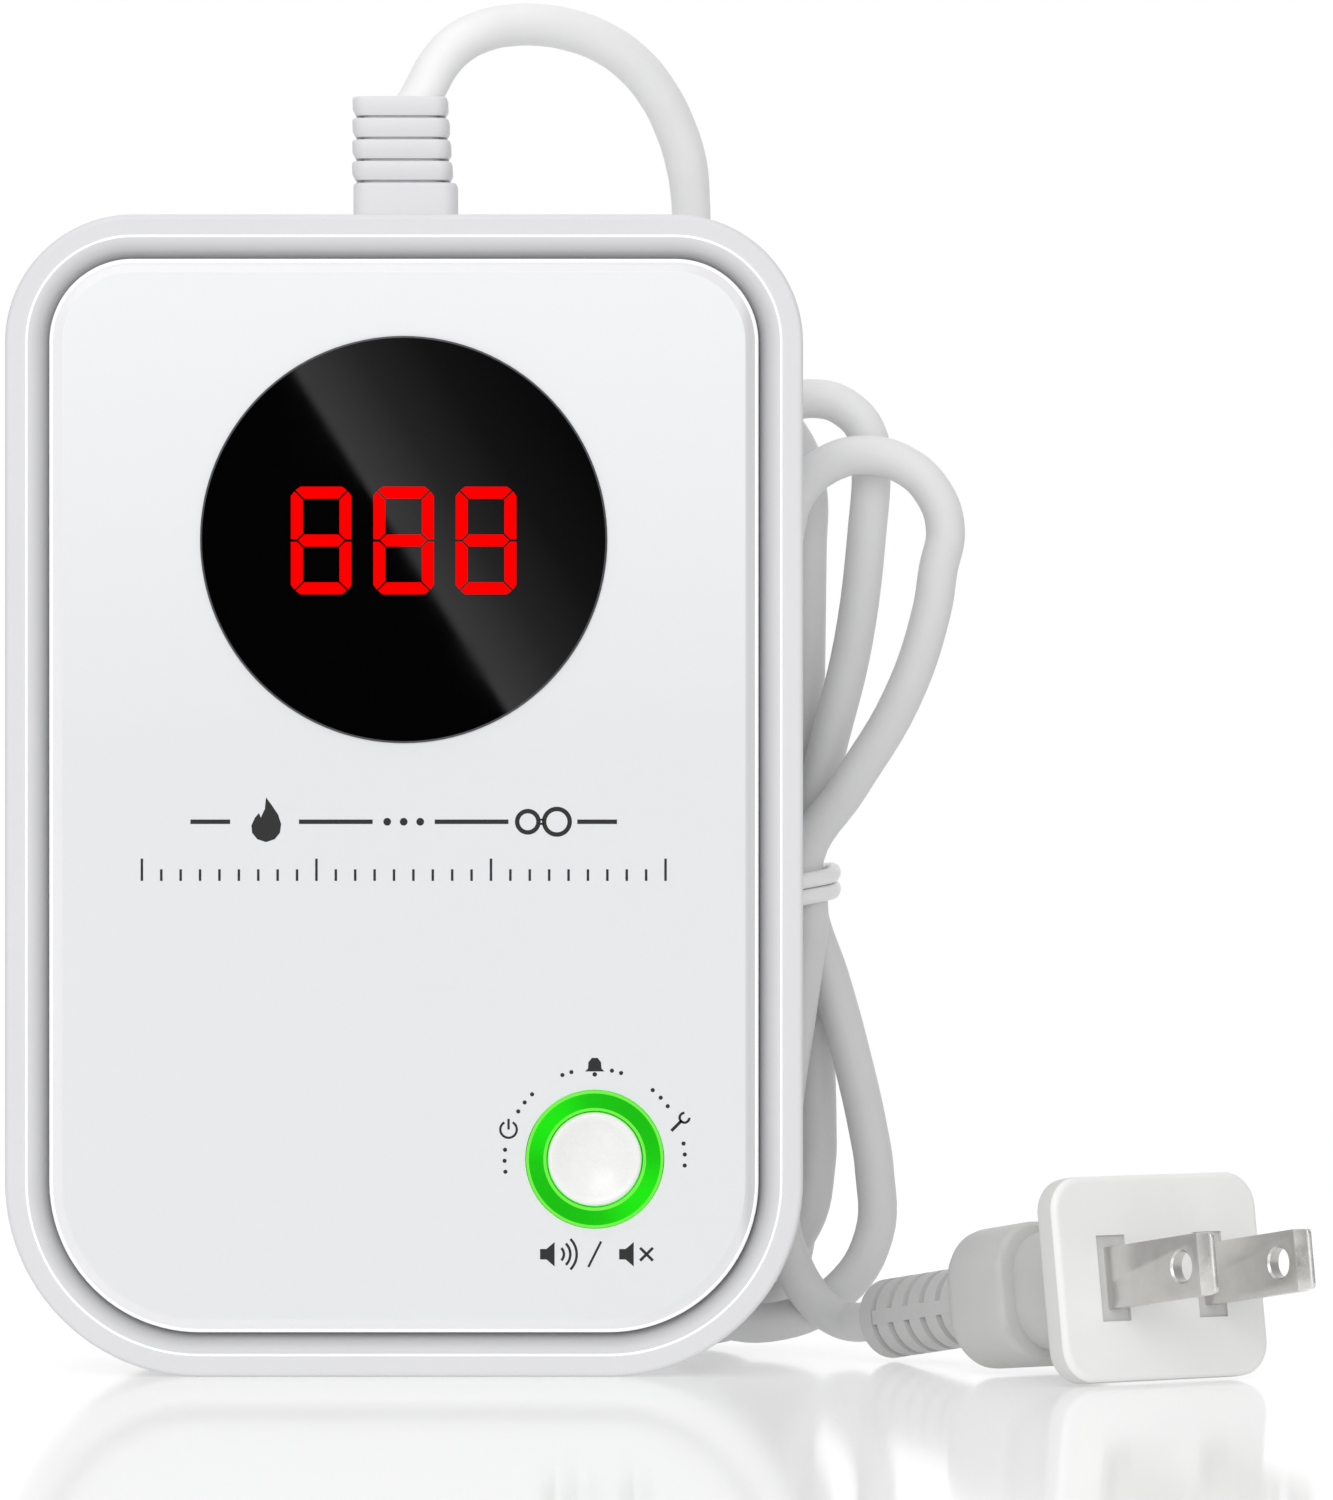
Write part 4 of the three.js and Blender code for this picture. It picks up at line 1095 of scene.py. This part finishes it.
class DETECTOR_OT_rear_cover(bpy.types.Operator):
    """Models the rear cover with its vents, sound slots, keyholes and screw wells."""
    bl_idname = "detector.rear_cover"
    bl_label = "Rear cover"

    def execute(self, context):
        case = sizes("detector_case")
        cover = plate(
            "rear_cover_shell", case["width"], case["height"], (case["high_round"], case["low_round"]))
        lift(-PARTING_BACK)
        rise(-CASE_BACK - case["back_round"] + PARTING_BACK)
        round_over(case["back_round"], 8)
        step_in(0.6)
        pick(cover, "FACE", lambda part: part.normal.z < -0.9)
        lip_in, lip_out = 1.0, 0.27
        step_in(lip_in)
        rise(-lip_out)
        step_in(case["wall"] - lip_in)
        rise(-CASE_BACK - case["wall"] + PARTING_BACK + lip_out)
        leave_edit()
        cover.data.transform(
            Matrix.Translation((0, 0, case["height"] / 2)) @ Matrix.Rotation(-QUARTER, 4, "X"))
        half, inside, outside = case["width"] / 2, -CASE_BACK - 4, -CASE_BACK + 1
        cutters = []
        vent_up, vent_height, vent_pitch, vents = 24.0, 1.5, 5.0, 6
        for side in (-1, 1):
            inner, outer = sorted((side * (half - 4), side * (half + 1)))
            slot = box("vent", (inner, 6.0, vent_up), (outer, 14.5, vent_up + vent_height))
            cutters += [slot] + copies(slot, [(0, 0, vent_pitch * at) for at in range(1, vents)])
        sound = box("sound_slot", (-19.5, inside, 46.2), (-4.5, outside, 47.8))
        sound_pitch, sound_slots = 4.0, 5
        cutters += [sound] + copies(sound, [(0, 0, sound_pitch * at) for at in range(1, sound_slots)])
        cut(cover, cutters)
        holes = []
        head, shank, head_up, shank_up = 3.6, 1.8, 94.0, 99.2
        for across in (-22.0, 22.0):
            hole = rod("keyhole", head, (across, -head_up, inside), outside)
            slot = rod("keyhole_top", shank, (across, -shank_up, inside), outside, 32)
            for part in (hole, slot):
                part.data.transform(Matrix.Rotation(-QUARTER, 4, "X"))
            holes += [hole, slot, box(
                "keyhole_slot", (across - shank, inside, head_up), (across + shank, outside, shank_up))]
        for across, up in ((-31.1, 10.1), (31.1, 10.1), (-33.0, 111.8), (33.0, 111.8)):
            well = rod("screw_well", 2.9, (across, -up, 12.0), outside, 40)
            well.data.transform(Matrix.Rotation(-QUARTER, 4, "X"))
            holes.append(well)
        cut(cover, holes)
        finish_mesh(cover, 30)
        deliver(
            cover, "rear_cover_shell", DETECTOR, [grey_abs_spark_textured()], ["rear_cover"])
        return {"FINISHED"}


class DETECTOR_OT_face_panel(bpy.types.Operator):
    """Models the face panel: rounded edge, low step inside it, and its two openings."""
    bl_idname = "detector.face_panel"
    bl_label = "Face panel"

    def execute(self, context):
        case, face = sizes("detector_case"), sizes("detector_face")
        inset, edge = case["panel_inset"], 0.3
        panel = plate("face_panel_skin", case["width"] - 2 * inset, case["height"] - 2 * inset,
                      (case["low_round"] - inset, case["high_round"] - inset))
        lift(PANEL_BACK)
        rise(PANEL_LEVEL - PANEL_BACK - case["panel_round"] - edge)
        round_over(case["panel_round"])
        step_in(0.1)
        step_in(0.7, edge)
        step_in(SUPPORT)
        middle = case["height"] / 2
        low, past = 10, 20.0
        window = rod(
            "window", WINDOW_RADIUS, (face["lens_at"].x, face["lens_at"].z - middle, low), past, 64)
        hole = rod(
            "ring_hole", PANEL_RING_HOLE, (face["button_at"].x, face["button_at"].z - middle, low), past, 64)
        cut(panel, [window, hole])
        stand_up(panel, 0, middle)
        finish_mesh(panel, 30)
        deliver(panel, "face_panel_skin", DETECTOR,
                [panel_abs_satin(), panel_edge_polished(), white_abs_polished()], ["face_panel"])
        foot, brow = PANEL_LEVEL - edge - case["panel_round"], PANEL_LEVEL - 0.01
        half, tall = case["width"] / 2 - inset - 2.0, middle - inset - 2.0
        # The panel's sloped edge faces get the finish with painted side shade.
        paint(panel, 1, lambda part: foot < -part.center.y / MM < brow and not (
            abs(part.center.x) < half * MM and abs(part.center.z - middle * MM) < tall * MM
            and part.normal.y > -0.9))
        # The panel's round-over faces get the glowing finish, a painted highlight.
        paint(panel, 2, lambda part: foot < -part.center.y / MM < PANEL_LEVEL - edge - 0.01)
        return {"FINISHED"}


class DETECTOR_OT_display_lens(bpy.types.Operator):
    """Models the round display lens with its ground edge."""
    bl_idname = "detector.display_lens"
    bl_label = "Display lens"

    def execute(self, context):
        face = sizes("detector_face")
        chamfer, back = face["lens_chamfer"], 16.0
        lens = disc("display_lens_disc", face["lens_radius"], 128)
        lift(back)
        rise(FACE_LEVEL - back - chamfer)
        step_in(chamfer * 0.5, chamfer * 0.7)
        step_in(chamfer * 0.5, chamfer * 0.3)
        step_in(SUPPORT)
        stand_up(lens, face["lens_at"].x, face["lens_at"].z)
        finish_mesh(lens, 30)
        deliver(lens, "display_lens_disc", DETECTOR,
                [acrylic_smoked_polished(), acrylic_edge_ground()], ["display_lens"])
        paint(lens, 1, lambda part: -(FACE_LEVEL - 0.01) * MM < part.center.y < -(back + 0.2) * MM)
        return {"FINISHED"}


class DETECTOR_OT_figures(bpy.types.Operator):
    """Models the three lit seven-segment figures."""
    bl_idname = "detector.figures"
    bl_label = "Lit figures"

    def execute(self, context):
        face = sizes("detector_face")
        half, tall, thick = face["digit_width"] / 2, face["digit_height"] / 2, face["segment"]
        trim, gap = 0.85, 0.13
        corner = [
            (half - trim - gap, tall), (half - (trim + gap) / 2, tall - (trim - gap) / 2),
            (half - thick - gap, tall - thick)]
        top = corner + [(-across, up) for across, up in reversed(corner)]
        side = [
            (half, tall - trim - gap), (half - (trim - gap) / 2, tall - (trim + gap) / 2),
            (half - thick, tall - thick - gap), (half - thick, thick / 2 + gap),
            (half - thick / 2, gap), (half, gap)]
        point = half - thick / 2 - gap
        bar = [
            (-point, 0), (-point + thick / 2, thick / 2), (point - thick / 2, thick / 2), (point, 0),
            (point - thick / 2, -thick / 2), (-point + thick / 2, -thick / 2)]
        corners = ((1, 1), (-1, 1), (1, -1), (-1, -1))
        drawn = [top, bar, [(across, -up) for across, up in top]]
        drawn += [[(across * sx, up * sy) for across, up in side] for sx, sy in corners]
        level = FACE_LEVEL + 0.01
        first = flat_shape("figure", drawn, level, 0.02)
        figures = [first] + copies(first, [(face["digit_pitch"] * at, 0, 0) for at in (1, 2)])
        material = lit_segments_red()
        for figure, name in zip(figures, ("figure_left", "figure_middle", "figure_right")):
            stand_up(figure, face["lens_at"].x - face["digit_pitch"], face["lens_at"].z - 0.1)
            finish_mesh(figure, 30)
            deliver(figure, name, DETECTOR, [material])
        return {"FINISHED"}


class DETECTOR_OT_light_ring(bpy.types.Operator):
    """Models the lit ring round the test button."""
    bl_idname = "detector.light_ring"
    bl_label = "Light ring"

    def execute(self, context):
        face = sizes("detector_face")
        back, edge = 13.6, 0.3
        ring = disc("light_ring", face["ring_outer"], 96)
        lift(back)
        rise(FACE_LEVEL - back - edge)
        round_over(edge, 4)
        step_in(face["ring_outer"] - face["ring_inner"] - 2 * edge - 2 * SUPPORT)
        step_in(SUPPORT)
        for low, high in ((0.0, 0.5), (0.5, 1.0)):
            start, end = QUARTER * low, QUARTER * high
            step_in(edge * (math.sin(end) - math.sin(start)), edge * (math.cos(end) - math.cos(start)))
        pick(ring, "FACE", lambda part: part.normal.z < -0.9)
        step_in(face["ring_outer"] - face["ring_inner"])
        pick(ring, "FACE", lambda part: len(part.verts) > 8)
        bpy.ops.mesh.bridge_edge_loops()
        stand_up(ring, face["button_at"].x, face["button_at"].z)
        finish_mesh(ring, 40)
        middle = Vector((face["button_at"].x, -FACE_LEVEL, face["button_at"].z))
        deliver(ring, "light_ring", DETECTOR,
                [green_acrylic_lit(middle), green_acrylic_edge()], ["light_guide_ring"])
        paint(ring, 1, lambda part: -part.normal.y < 0.995 and -part.center.y > (FACE_LEVEL - edge) * MM)
        return {"FINISHED"}


class DETECTOR_OT_test_button(bpy.types.Operator):
    """Models the dished cap of the test button, with its flange."""
    bl_idname = "detector.test_button"
    bl_label = "Test button"

    def execute(self, context):
        face = sizes("detector_face")
        radius, flange, back, shoulder = face["button_radius"], 5.8, 12.5, 13.3
        dish, edge = 1.1, 0.35
        cap = disc("test_button_dished", flange, 96)
        lift(back)
        rise(shoulder - back)
        step_in(flange - radius)
        rise(FACE_LEVEL - shoulder - edge)
        round_over(edge, 5)
        rings, reach = 7, radius - edge - SUPPORT - 0.1
        for ring in range(rings):
            near, far = 1 - ring / rings, 1 - (ring + 1) / rings
            step_in(reach / rings * 0.98, -dish * ((1 - far * far) - (1 - near * near)))
        stand_up(cap, face["button_at"].x, face["button_at"].z)
        finish_mesh(cap, 35)
        deliver(
            cap, "test_button_dished", TEST_BUTTON, [button_abs_gloss()], ["test_button_cap"])
        return {"FINISHED"}


class DETECTOR_OT_printed_marks(bpy.types.Operator):
    """Prints the plain signs on the panel: gas and flame, a scale, the lights' meanings and the sounder."""
    bl_idname = "detector.printed_marks"
    bl_label = "Printed marks"

    title_up, title_rule = 57.3, 0.46
    power_at, bell_at, fault_at = 161, 92, 23

    def execute(self, context):
        face = sizes("detector_face")
        ink = screen_ink_black()
        shapes = {
            "mark_flame": self.flame(-14.2, self.title_up),
            "mark_molecule": self.molecule(14.2, self.title_up),
            "mark_title_rules": self.rules(),
            "mark_scale": self.scale(52.3),
            "mark_lights": self.lights(face),
            "mark_sounder": self.sounder(face["button_at"].x, 12.7),
        }
        for name, outlines in shapes.items():
            parts = [flat_shape(name, [outline], PANEL_LEVEL + 0.006, 0.01) for outline in outlines]
            mark = join(parts) if len(parts) > 1 else parts[0]
            stand_up(mark)
            finish_mesh(mark, 30)
            deliver(mark, name, DETECTOR, [ink])
        return {"FINISHED"}

    def bar(self, start, end, thick):
        """A straight stroke with square ends."""
        a, b = Vector(start), Vector(end)
        side = (b - a).orthogonal().normalized() * thick / 2
        return [tuple(point) for point in (a + side, b + side, b - side, a - side)]

    def arc(self, centre, radius, start, end, thick):
        """A curved stroke between two angles, in degrees."""
        count = max(6, round(abs(end - start) / 8))
        turns = [math.radians(start + (end - start) * step / count) for step in range(count + 1)]
        outer = [(centre[0] + (radius + thick / 2) * math.cos(turn),
                  centre[1] + (radius + thick / 2) * math.sin(turn)) for turn in turns]
        inner = [(centre[0] + (radius - thick / 2) * math.cos(turn),
                  centre[1] + (radius - thick / 2) * math.sin(turn)) for turn in reversed(turns)]
        return outer + inner

    def dot(self, centre, radius, sides=20):
        """A round spot."""
        return [(centre[0] + radius * math.cos(2 * math.pi * step / sides),
                 centre[1] + radius * math.sin(2 * math.pi * step / sides)) for step in range(sides)]

    def flame(self, across, up):
        """A flame: a drop with a curled tip."""
        right = [
            (0.0, 2.1), (0.55, 1.35), (1.05, 0.6), (1.3, -0.2), (1.2, -0.95), (0.75, -1.5), (0.0, -1.75)]
        left = [
            (-0.75, -1.5), (-1.2, -0.95), (-1.25, -0.3), (-0.95, 0.35), (-0.6, 0.75), (-0.45, 0.35),
            (-0.1, 1.1)]
        return [[(across + 1.2 * x, up + 1.2 * y) for x, y in right + left]]

    def molecule(self, across, up):
        """Two joined rings, a small molecule."""
        return [
            self.arc((across - 1.4, up), 1.1, 0, 359.9, self.title_rule),
            self.arc((across + 1.6, up), 1.32, 0, 359.9, self.title_rule),
            self.bar((across - 0.2, up + 0.22), (across + 0.25, up + 0.22), 0.2),
            self.bar((across - 0.2, up - 0.22), (across + 0.25, up - 0.22), 0.2)]

    def rules(self):
        """The rules either side of the two signs, and the spots between them."""
        made = []
        for outer, inner in ((22, 17.9), (10.8, 3.2)):
            made += [self.bar((side * outer, self.title_up), (side * inner, self.title_up), self.title_rule)
                     for side in (-1, 1)]
        return made + [self.dot((at * 1.7, self.title_up), 0.4) for at in (-1, 0, 1)]

    def scale(self, up):
        """A level scale of rising ticks."""
        made = []
        for step in range(28):
            tall = 2.3 if step % 9 == 0 else 1.2
            made.append(self.bar((-27 + 2 * step, up - 1.1), (-27 + 2 * step, up - 1.1 + tall), 0.26))
        return made

    def lights(self, face):
        """Signs round the light ring: a power sign, a bell and a spanner, with spots beside each."""
        middle = (face["button_at"].x, face["button_at"].z)
        made = []
        for sign, spots in (
                (self.power_at, (13, 20, 27)), (self.bell_at, (13, 19)), (self.fault_at, (13, 20, 27))):
            for spot in spots:
                for turn in (math.radians(sign - spot), math.radians(sign + spot)):
                    made.append(self.dot(
                        (middle[0] + 9.3 * math.cos(turn), middle[1] + 9.3 * math.sin(turn)), 0.22, 12))
        turn = math.radians(self.power_at)
        power = (middle[0] + 9.4 * math.cos(turn), middle[1] + 9.4 * math.sin(turn))
        made += [self.arc(power, 0.85, -240, 60, 0.24), self.bar(power, (power[0], power[1] + 1.1), 0.24)]
        bell = (middle[0], middle[1] + 9.6)
        made += [
            [(bell[0] + x, bell[1] + y) for x, y in (
                (-1.0, -0.55), (-0.7, -0.25), (-0.65, 0.4), (-0.3, 0.85), (0.3, 0.85), (0.65, 0.4),
                (0.7, -0.25), (1.0, -0.55))],
            self.dot((bell[0], bell[1] - 0.85), 0.24, 12)]
        turn = math.radians(self.fault_at)
        fault = (middle[0] + 9.4 * math.cos(turn), middle[1] + 9.4 * math.sin(turn))
        made += [
            self.bar((fault[0] - 0.75, fault[1] - 0.75), (fault[0] + 0.35, fault[1] + 0.35), 0.32),
            self.arc((fault[0] + 0.6, fault[1] + 0.6), 0.5, 90, 360, 0.26)]
        return made

    def sounder(self, across, up):
        """A sounding loudspeaker, a slanting rule and a silenced loudspeaker."""
        made = []
        for at in (-3.8, 3.0):
            made.append([(at + x, y) for x, y in (
                (-0.9, -0.45), (-0.35, -0.45), (0.35, -1.05), (0.35, 1.05), (-0.35, 0.45), (-0.9, 0.45))])
        made += [self.arc((-3.4, 0.0), reach, -45, 45, 0.22) for reach in (0.75, 1.3, 1.85)]
        made.append(self.bar((-0.55, -1.1), (0.55, 1.1), 0.2))
        for tilt in (-1, 1):
            made.append(self.bar((3.9, -0.55 * tilt), (5.0, 0.55 * tilt), 0.24))
        return [[(across + 1.2 * x, up + 1.2 * y) for x, y in outline] for outline in made]


class DETECTOR_OT_strain_relief(bpy.types.Operator):
    """Models the ribbed strain relief on top of the case."""
    bl_idname = "detector.strain_relief"
    bl_label = "Strain relief"

    def execute(self, context):
        middle, deep = (-0.45, 7.7), 8.4
        foot, block_top, top = 116.6, 124.5, 133.6
        relief = plate("strain_relief_ribbed", 10.95, deep, (1.6, 1.6), 8)
        lift(foot)
        rise(0.4)
        rise(block_top - foot - 0.4 - 0.35)
        swell(0.985, 0.985, 0.25)
        swell(0.95, 0.95, 0.1)
        ribs, neck, lip, fuller = 4, 0.8, 0.965, 1.027
        pitch = (top - block_top) / ribs
        for rib in range(ribs):
            swell(neck, neck, 0.03)
            rise(0.2)
            swell(lip / neck, lip / neck, 0.06)
            swell(fuller / lip, fuller / lip, 0.6)
            rise(pitch - 0.03 - 0.2 - 0.06 - 0.6 - 0.26)
            swell(0.988, 0.988, 0.16)
            swell(0.969, 0.969, 0.1)
        swell(0.93, 0.93, 0.0)
        leave_edit()
        for point in relief.data.vertices:
            rib_share = (point.co.z - block_top) / (top - block_top)
            if rib_share > 0:
                point.co.x -= 0.3 + 0.28 * rib_share
        relief.data.transform(Matrix.Translation((*middle, 0)))
        finish_mesh(relief, 40)
        deliver(relief, "strain_relief_ribbed", DETECTOR, [relief_pvc_moulded()],
                ["inlet_strain_relief"])
        return {"FINISHED"}


def seat_plug_part(piece):
    """Turns a piece drawn in the plug's own frame, +Z towards the blades' tips, to its place."""
    size = sizes("detector_cord")
    leave_edit()
    stand = Matrix.Rotation(QUARTER, 4, "Y")
    turn = Euler((0, size["plug_pitch"], size["plug_yaw"]), "XYZ").to_matrix().to_4x4()
    piece.data.transform(Matrix.Translation(size["plug_at"]) @ turn @ stand)


class DETECTOR_OT_plug_body(bpy.types.Operator):
    """Models the plug's body: grooved strain relief, rounded shoulder and the neck behind the plate."""
    bl_idname = "detector.plug_body"
    bl_label = "Plug body"

    def execute(self, context):
        size = sizes("detector_cord")
        sides, radius, grooves, pitch, ridge, floor = 100, 4.2, 5, 2.8, 0.42, 0.72
        depth = (radius - 0.7) / radius
        sleeve = disc("plug_sleeve", radius * 0.78, sides)
        lift(-46.6)
        swell(1.16, 1.16, 0.12)
        swell(1.105, 1.105, 0.35)
        rise(1.5)
        for groove in range(grooves):
            rise(ridge)
            swell(depth, depth, 0.12)
            rise(floor)
            swell(1 / depth, 1 / depth, 0.12)
            rise(pitch - ridge - 2 * 0.12 - floor)
        rise(1.9)
        pick(sleeve, "FACE", lambda part: len(part.verts) > 8 and part.normal.z > 0.9)
        bpy.ops.mesh.delete(type="ONLY_FACE")
        shoulder = plate("plug_shoulder", 14.6, 19.5, (5.4, 5.4), 24)
        lift(-22.4)
        rise(3.4)
        rise(3.6)
        swell(0.985, 0.985, 0.5)
        swell(0.95, 0.95, 0.35)
        swell(0.905, 0.865, 0.05)
        rise(0.6)
        rise(-2.6 + 14.2)
        pick(shoulder, "FACE", lambda part: len(part.verts) > 8 and part.normal.z < -0.9)
        bpy.ops.mesh.delete(type="ONLY_FACE")
        body = join([sleeve, shoulder])
        take(body)
        bpy.ops.object.mode_set(mode="EDIT")
        pick(body, "EDGE", lambda part: part.is_boundary)
        bpy.ops.mesh.bridge_edge_loops(number_cuts=9, interpolation="SURFACE", smoothness=1.0)
        leave_edit()
        seams = []
        for side in (-1, 1):
            low, high = sorted((side * 3.4, side * 4.16))
            seams.append(box("seam_rib", (-0.75, low, -43.9), (0.75, high, -30.4)))
        body = join([body, *seams])
        seat_plug_part(body)
        finish_mesh(body, 38)
        deliver(body, "plug_body_moulded", DETECTOR, [plug_pvc_moulded()], ["plug_body"])
        return {"FINISHED"}


class DETECTOR_OT_plug_plate(bpy.types.Operator):
    """Models the plug's face plate, with a shallow frame round each blade's root."""
    bl_idname = "detector.plug_plate"
    bl_label = "Plug face plate"

    def execute(self, context):
        size = sizes("detector_cord")
        edge = 0.7
        face = plate("plug_plate", size["plate_height"], size["plate_width"], (3.6, 3.6), 16)
        lift(-size["plate_thick"] + edge)
        rise(size["plate_thick"] - 2 * edge)
        round_over(edge, 6)
        pick(face, "FACE", lambda part: len(part.verts) > 8 and part.normal.z < -0.9)
        round_over(edge, 6)
        leave_edit()
        pockets = []
        for side in (-1, 1):
            at = side * size["blade_spacing"] / 2
            pockets.append(box("pocket", (-4.4, at - 1.85, -0.3), (4.4, at + 1.85, 1)))
        cut(face, pockets)
        # The plate's side faces get the darker rim finish, as painted shade.
        finishes = [1 if abs(part.center.z + 0.3) < 0.01 else 2 if part.normal.z < 0.3 else 0
                    for part in face.data.polygons]
        seat_plug_part(face)
        finish_mesh(face, 30)
        deliver(face, "plug_plate_moulded", DETECTOR,
                [plate_pvc_moulded(), insert_pbt_moulded(), plate_rim_moulded()], ["plug_face_plate"])
        for part, finish in zip(face.data.polygons, finishes):
            part.material_index = finish
        return {"FINISHED"}


class DETECTOR_OT_plug_blades(bpy.types.Operator):
    """Models the two flat blades, each with its hole and bevelled tip."""
    bl_idname = "detector.plug_blades"
    bl_label = "Plug blades"

    def execute(self, context):
        size = sizes("detector_cord")
        wide, thick, reach = size["blade_width"], size["blade_thick"], size["blade_length"]
        root, hole_at, hole, taper = -11.0, 11.9, 1.55, 1.7
        blade = plate("blade", wide, thick, (0.1, 0.1), 2)
        lift(root)
        rise(reach - taper - root)
        swell(0.99, 0.97, 0.04)
        swell(0.965, 0.42, taper - 0.34)
        swell(0.93, 0.8, 0.22)
        swell(0.9, 0.75, 0.08)
        leave_edit()
        cutters = [rod("bore", hole, (0, 0, -thick), thick, 48)]
        for side in (-1, 1):
            bpy.ops.mesh.primitive_cone_add(
                vertices=48, radius1=hole + 0.35, radius2=hole - 0.15, depth=0.5, location=(0, 0, 0))
            sink = bpy.context.object
            sink.data.transform(Matrix.Translation((0, 0, 0.1 - thick / 2)))
            if side > 0:
                sink.data.transform(Matrix.Rotation(math.pi, 4, "X"))
            cutters.append(sink)
            leave_edit()
        for cutter in cutters:
            cutter.data.transform(Matrix.Translation((0, 0, hole_at)) @ Matrix.Rotation(QUARTER, 4, "X"))
        cut(blade, cutters)
        twins = copies(blade, [(0, side * size["blade_spacing"] / 2, 0) for side in (-1, 1)])
        bpy.data.objects.remove(blade)
        materials = [brass_nickel_plated(), brass_nickel_coined()]
        for twin, side in zip(twins, ("left", "right")):
            tips = [part.center.z > reach - taper for part in twin.data.polygons]
            seat_plug_part(twin)
            finish_mesh(twin, 30)
            deliver(twin, f"blade_{side}_stamped", DETECTOR, materials, [f"plug_blade_{side}"])
            for part, is_tip in zip(twin.data.polygons, tips):
                part.material_index = int(is_tip)
        return {"FINISHED"}


class DETECTOR_OT_inner_parts(bpy.types.Operator):
    """Gives the solids inside the case, and the screws, their finishes."""
    bl_idname = "detector.inner_parts"
    bl_label = "Inner parts"

    def execute(self, context):
        finishes = inner_finishes()
        for part in frame["record"]["subparts"]:
            node, slot = part["node"], part["material_slot"]
            if slot not in finishes:
                continue
            held = frame["nodes"][node]
            if not held.material_slots:
                held.data.materials.append(finishes[slot])
            for holder in held.material_slots:
                holder.material = finishes[slot]
        return {"FINISHED"}


class DETECTOR_PT_pieces(bpy.types.Panel):
    """Lists the sizes, the colours and the pieces."""
    bl_label = "Detector"
    bl_idname = "DETECTOR_PT_pieces"
    bl_space_type = "VIEW_3D"
    bl_region_type = "UI"
    bl_category = "Detector"

    def draw(self, context):
        scene, layout = context.scene, self.layout
        for title, group in (("Case", scene.detector_case), ("Face", scene.detector_face),
                             ("Cord and plug", scene.detector_cord), ("Colours", scene.detector_colours)):
            column = layout.box().column()
            column.label(text=title)
            for name in group.__annotations__:
                column.prop(group, name)
        column = layout.column()
        for kind in OPERATORS:
            column.operator(kind.bl_idname)


GROUPS = {
    "detector_case": DetectorCaseSizes,
    "detector_face": DetectorFaceSizes,
    "detector_cord": DetectorCordSizes,
    "detector_colours": DetectorColours,
}
OPERATORS = (
    DETECTOR_OT_studio, DETECTOR_OT_cord, DETECTOR_OT_tie, DETECTOR_OT_front_cover,
    DETECTOR_OT_rear_cover, DETECTOR_OT_face_panel, DETECTOR_OT_display_lens, DETECTOR_OT_figures,
    DETECTOR_OT_light_ring, DETECTOR_OT_test_button, DETECTOR_OT_printed_marks,
    DETECTOR_OT_strain_relief, DETECTOR_OT_plug_body, DETECTOR_OT_plug_plate, DETECTOR_OT_plug_blades,
    DETECTOR_OT_inner_parts,
)


def register():
    """Registers the groups, the operators and the panel."""
    for kind in (*GROUPS.values(), *OPERATORS, DETECTOR_PT_pieces):
        bpy.utils.register_class(kind)
    for name, kind in GROUPS.items():
        setattr(bpy.types.Scene, name, bpy.props.PointerProperty(type=kind))


def unregister():
    """Takes back what register added."""
    for name in GROUPS:
        delattr(bpy.types.Scene, name)
    for kind in (DETECTOR_PT_pieces, *reversed(OPERATORS), *GROUPS.values()):
        bpy.utils.unregister_class(kind)


def declare_cord():
    """Works out the cord's first point and its diameter, and keeps neither."""
    tuple(cord_route()[0])
    sizes("detector_cord")["diameter"] * MM


def main():
    """Registers the add-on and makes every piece."""
    register()
    for kind in OPERATORS:
        group, name = kind.bl_idname.split(".")
        getattr(getattr(bpy.ops, group), name)()
    declare_cord()


if __name__ == "__main__":
    main()
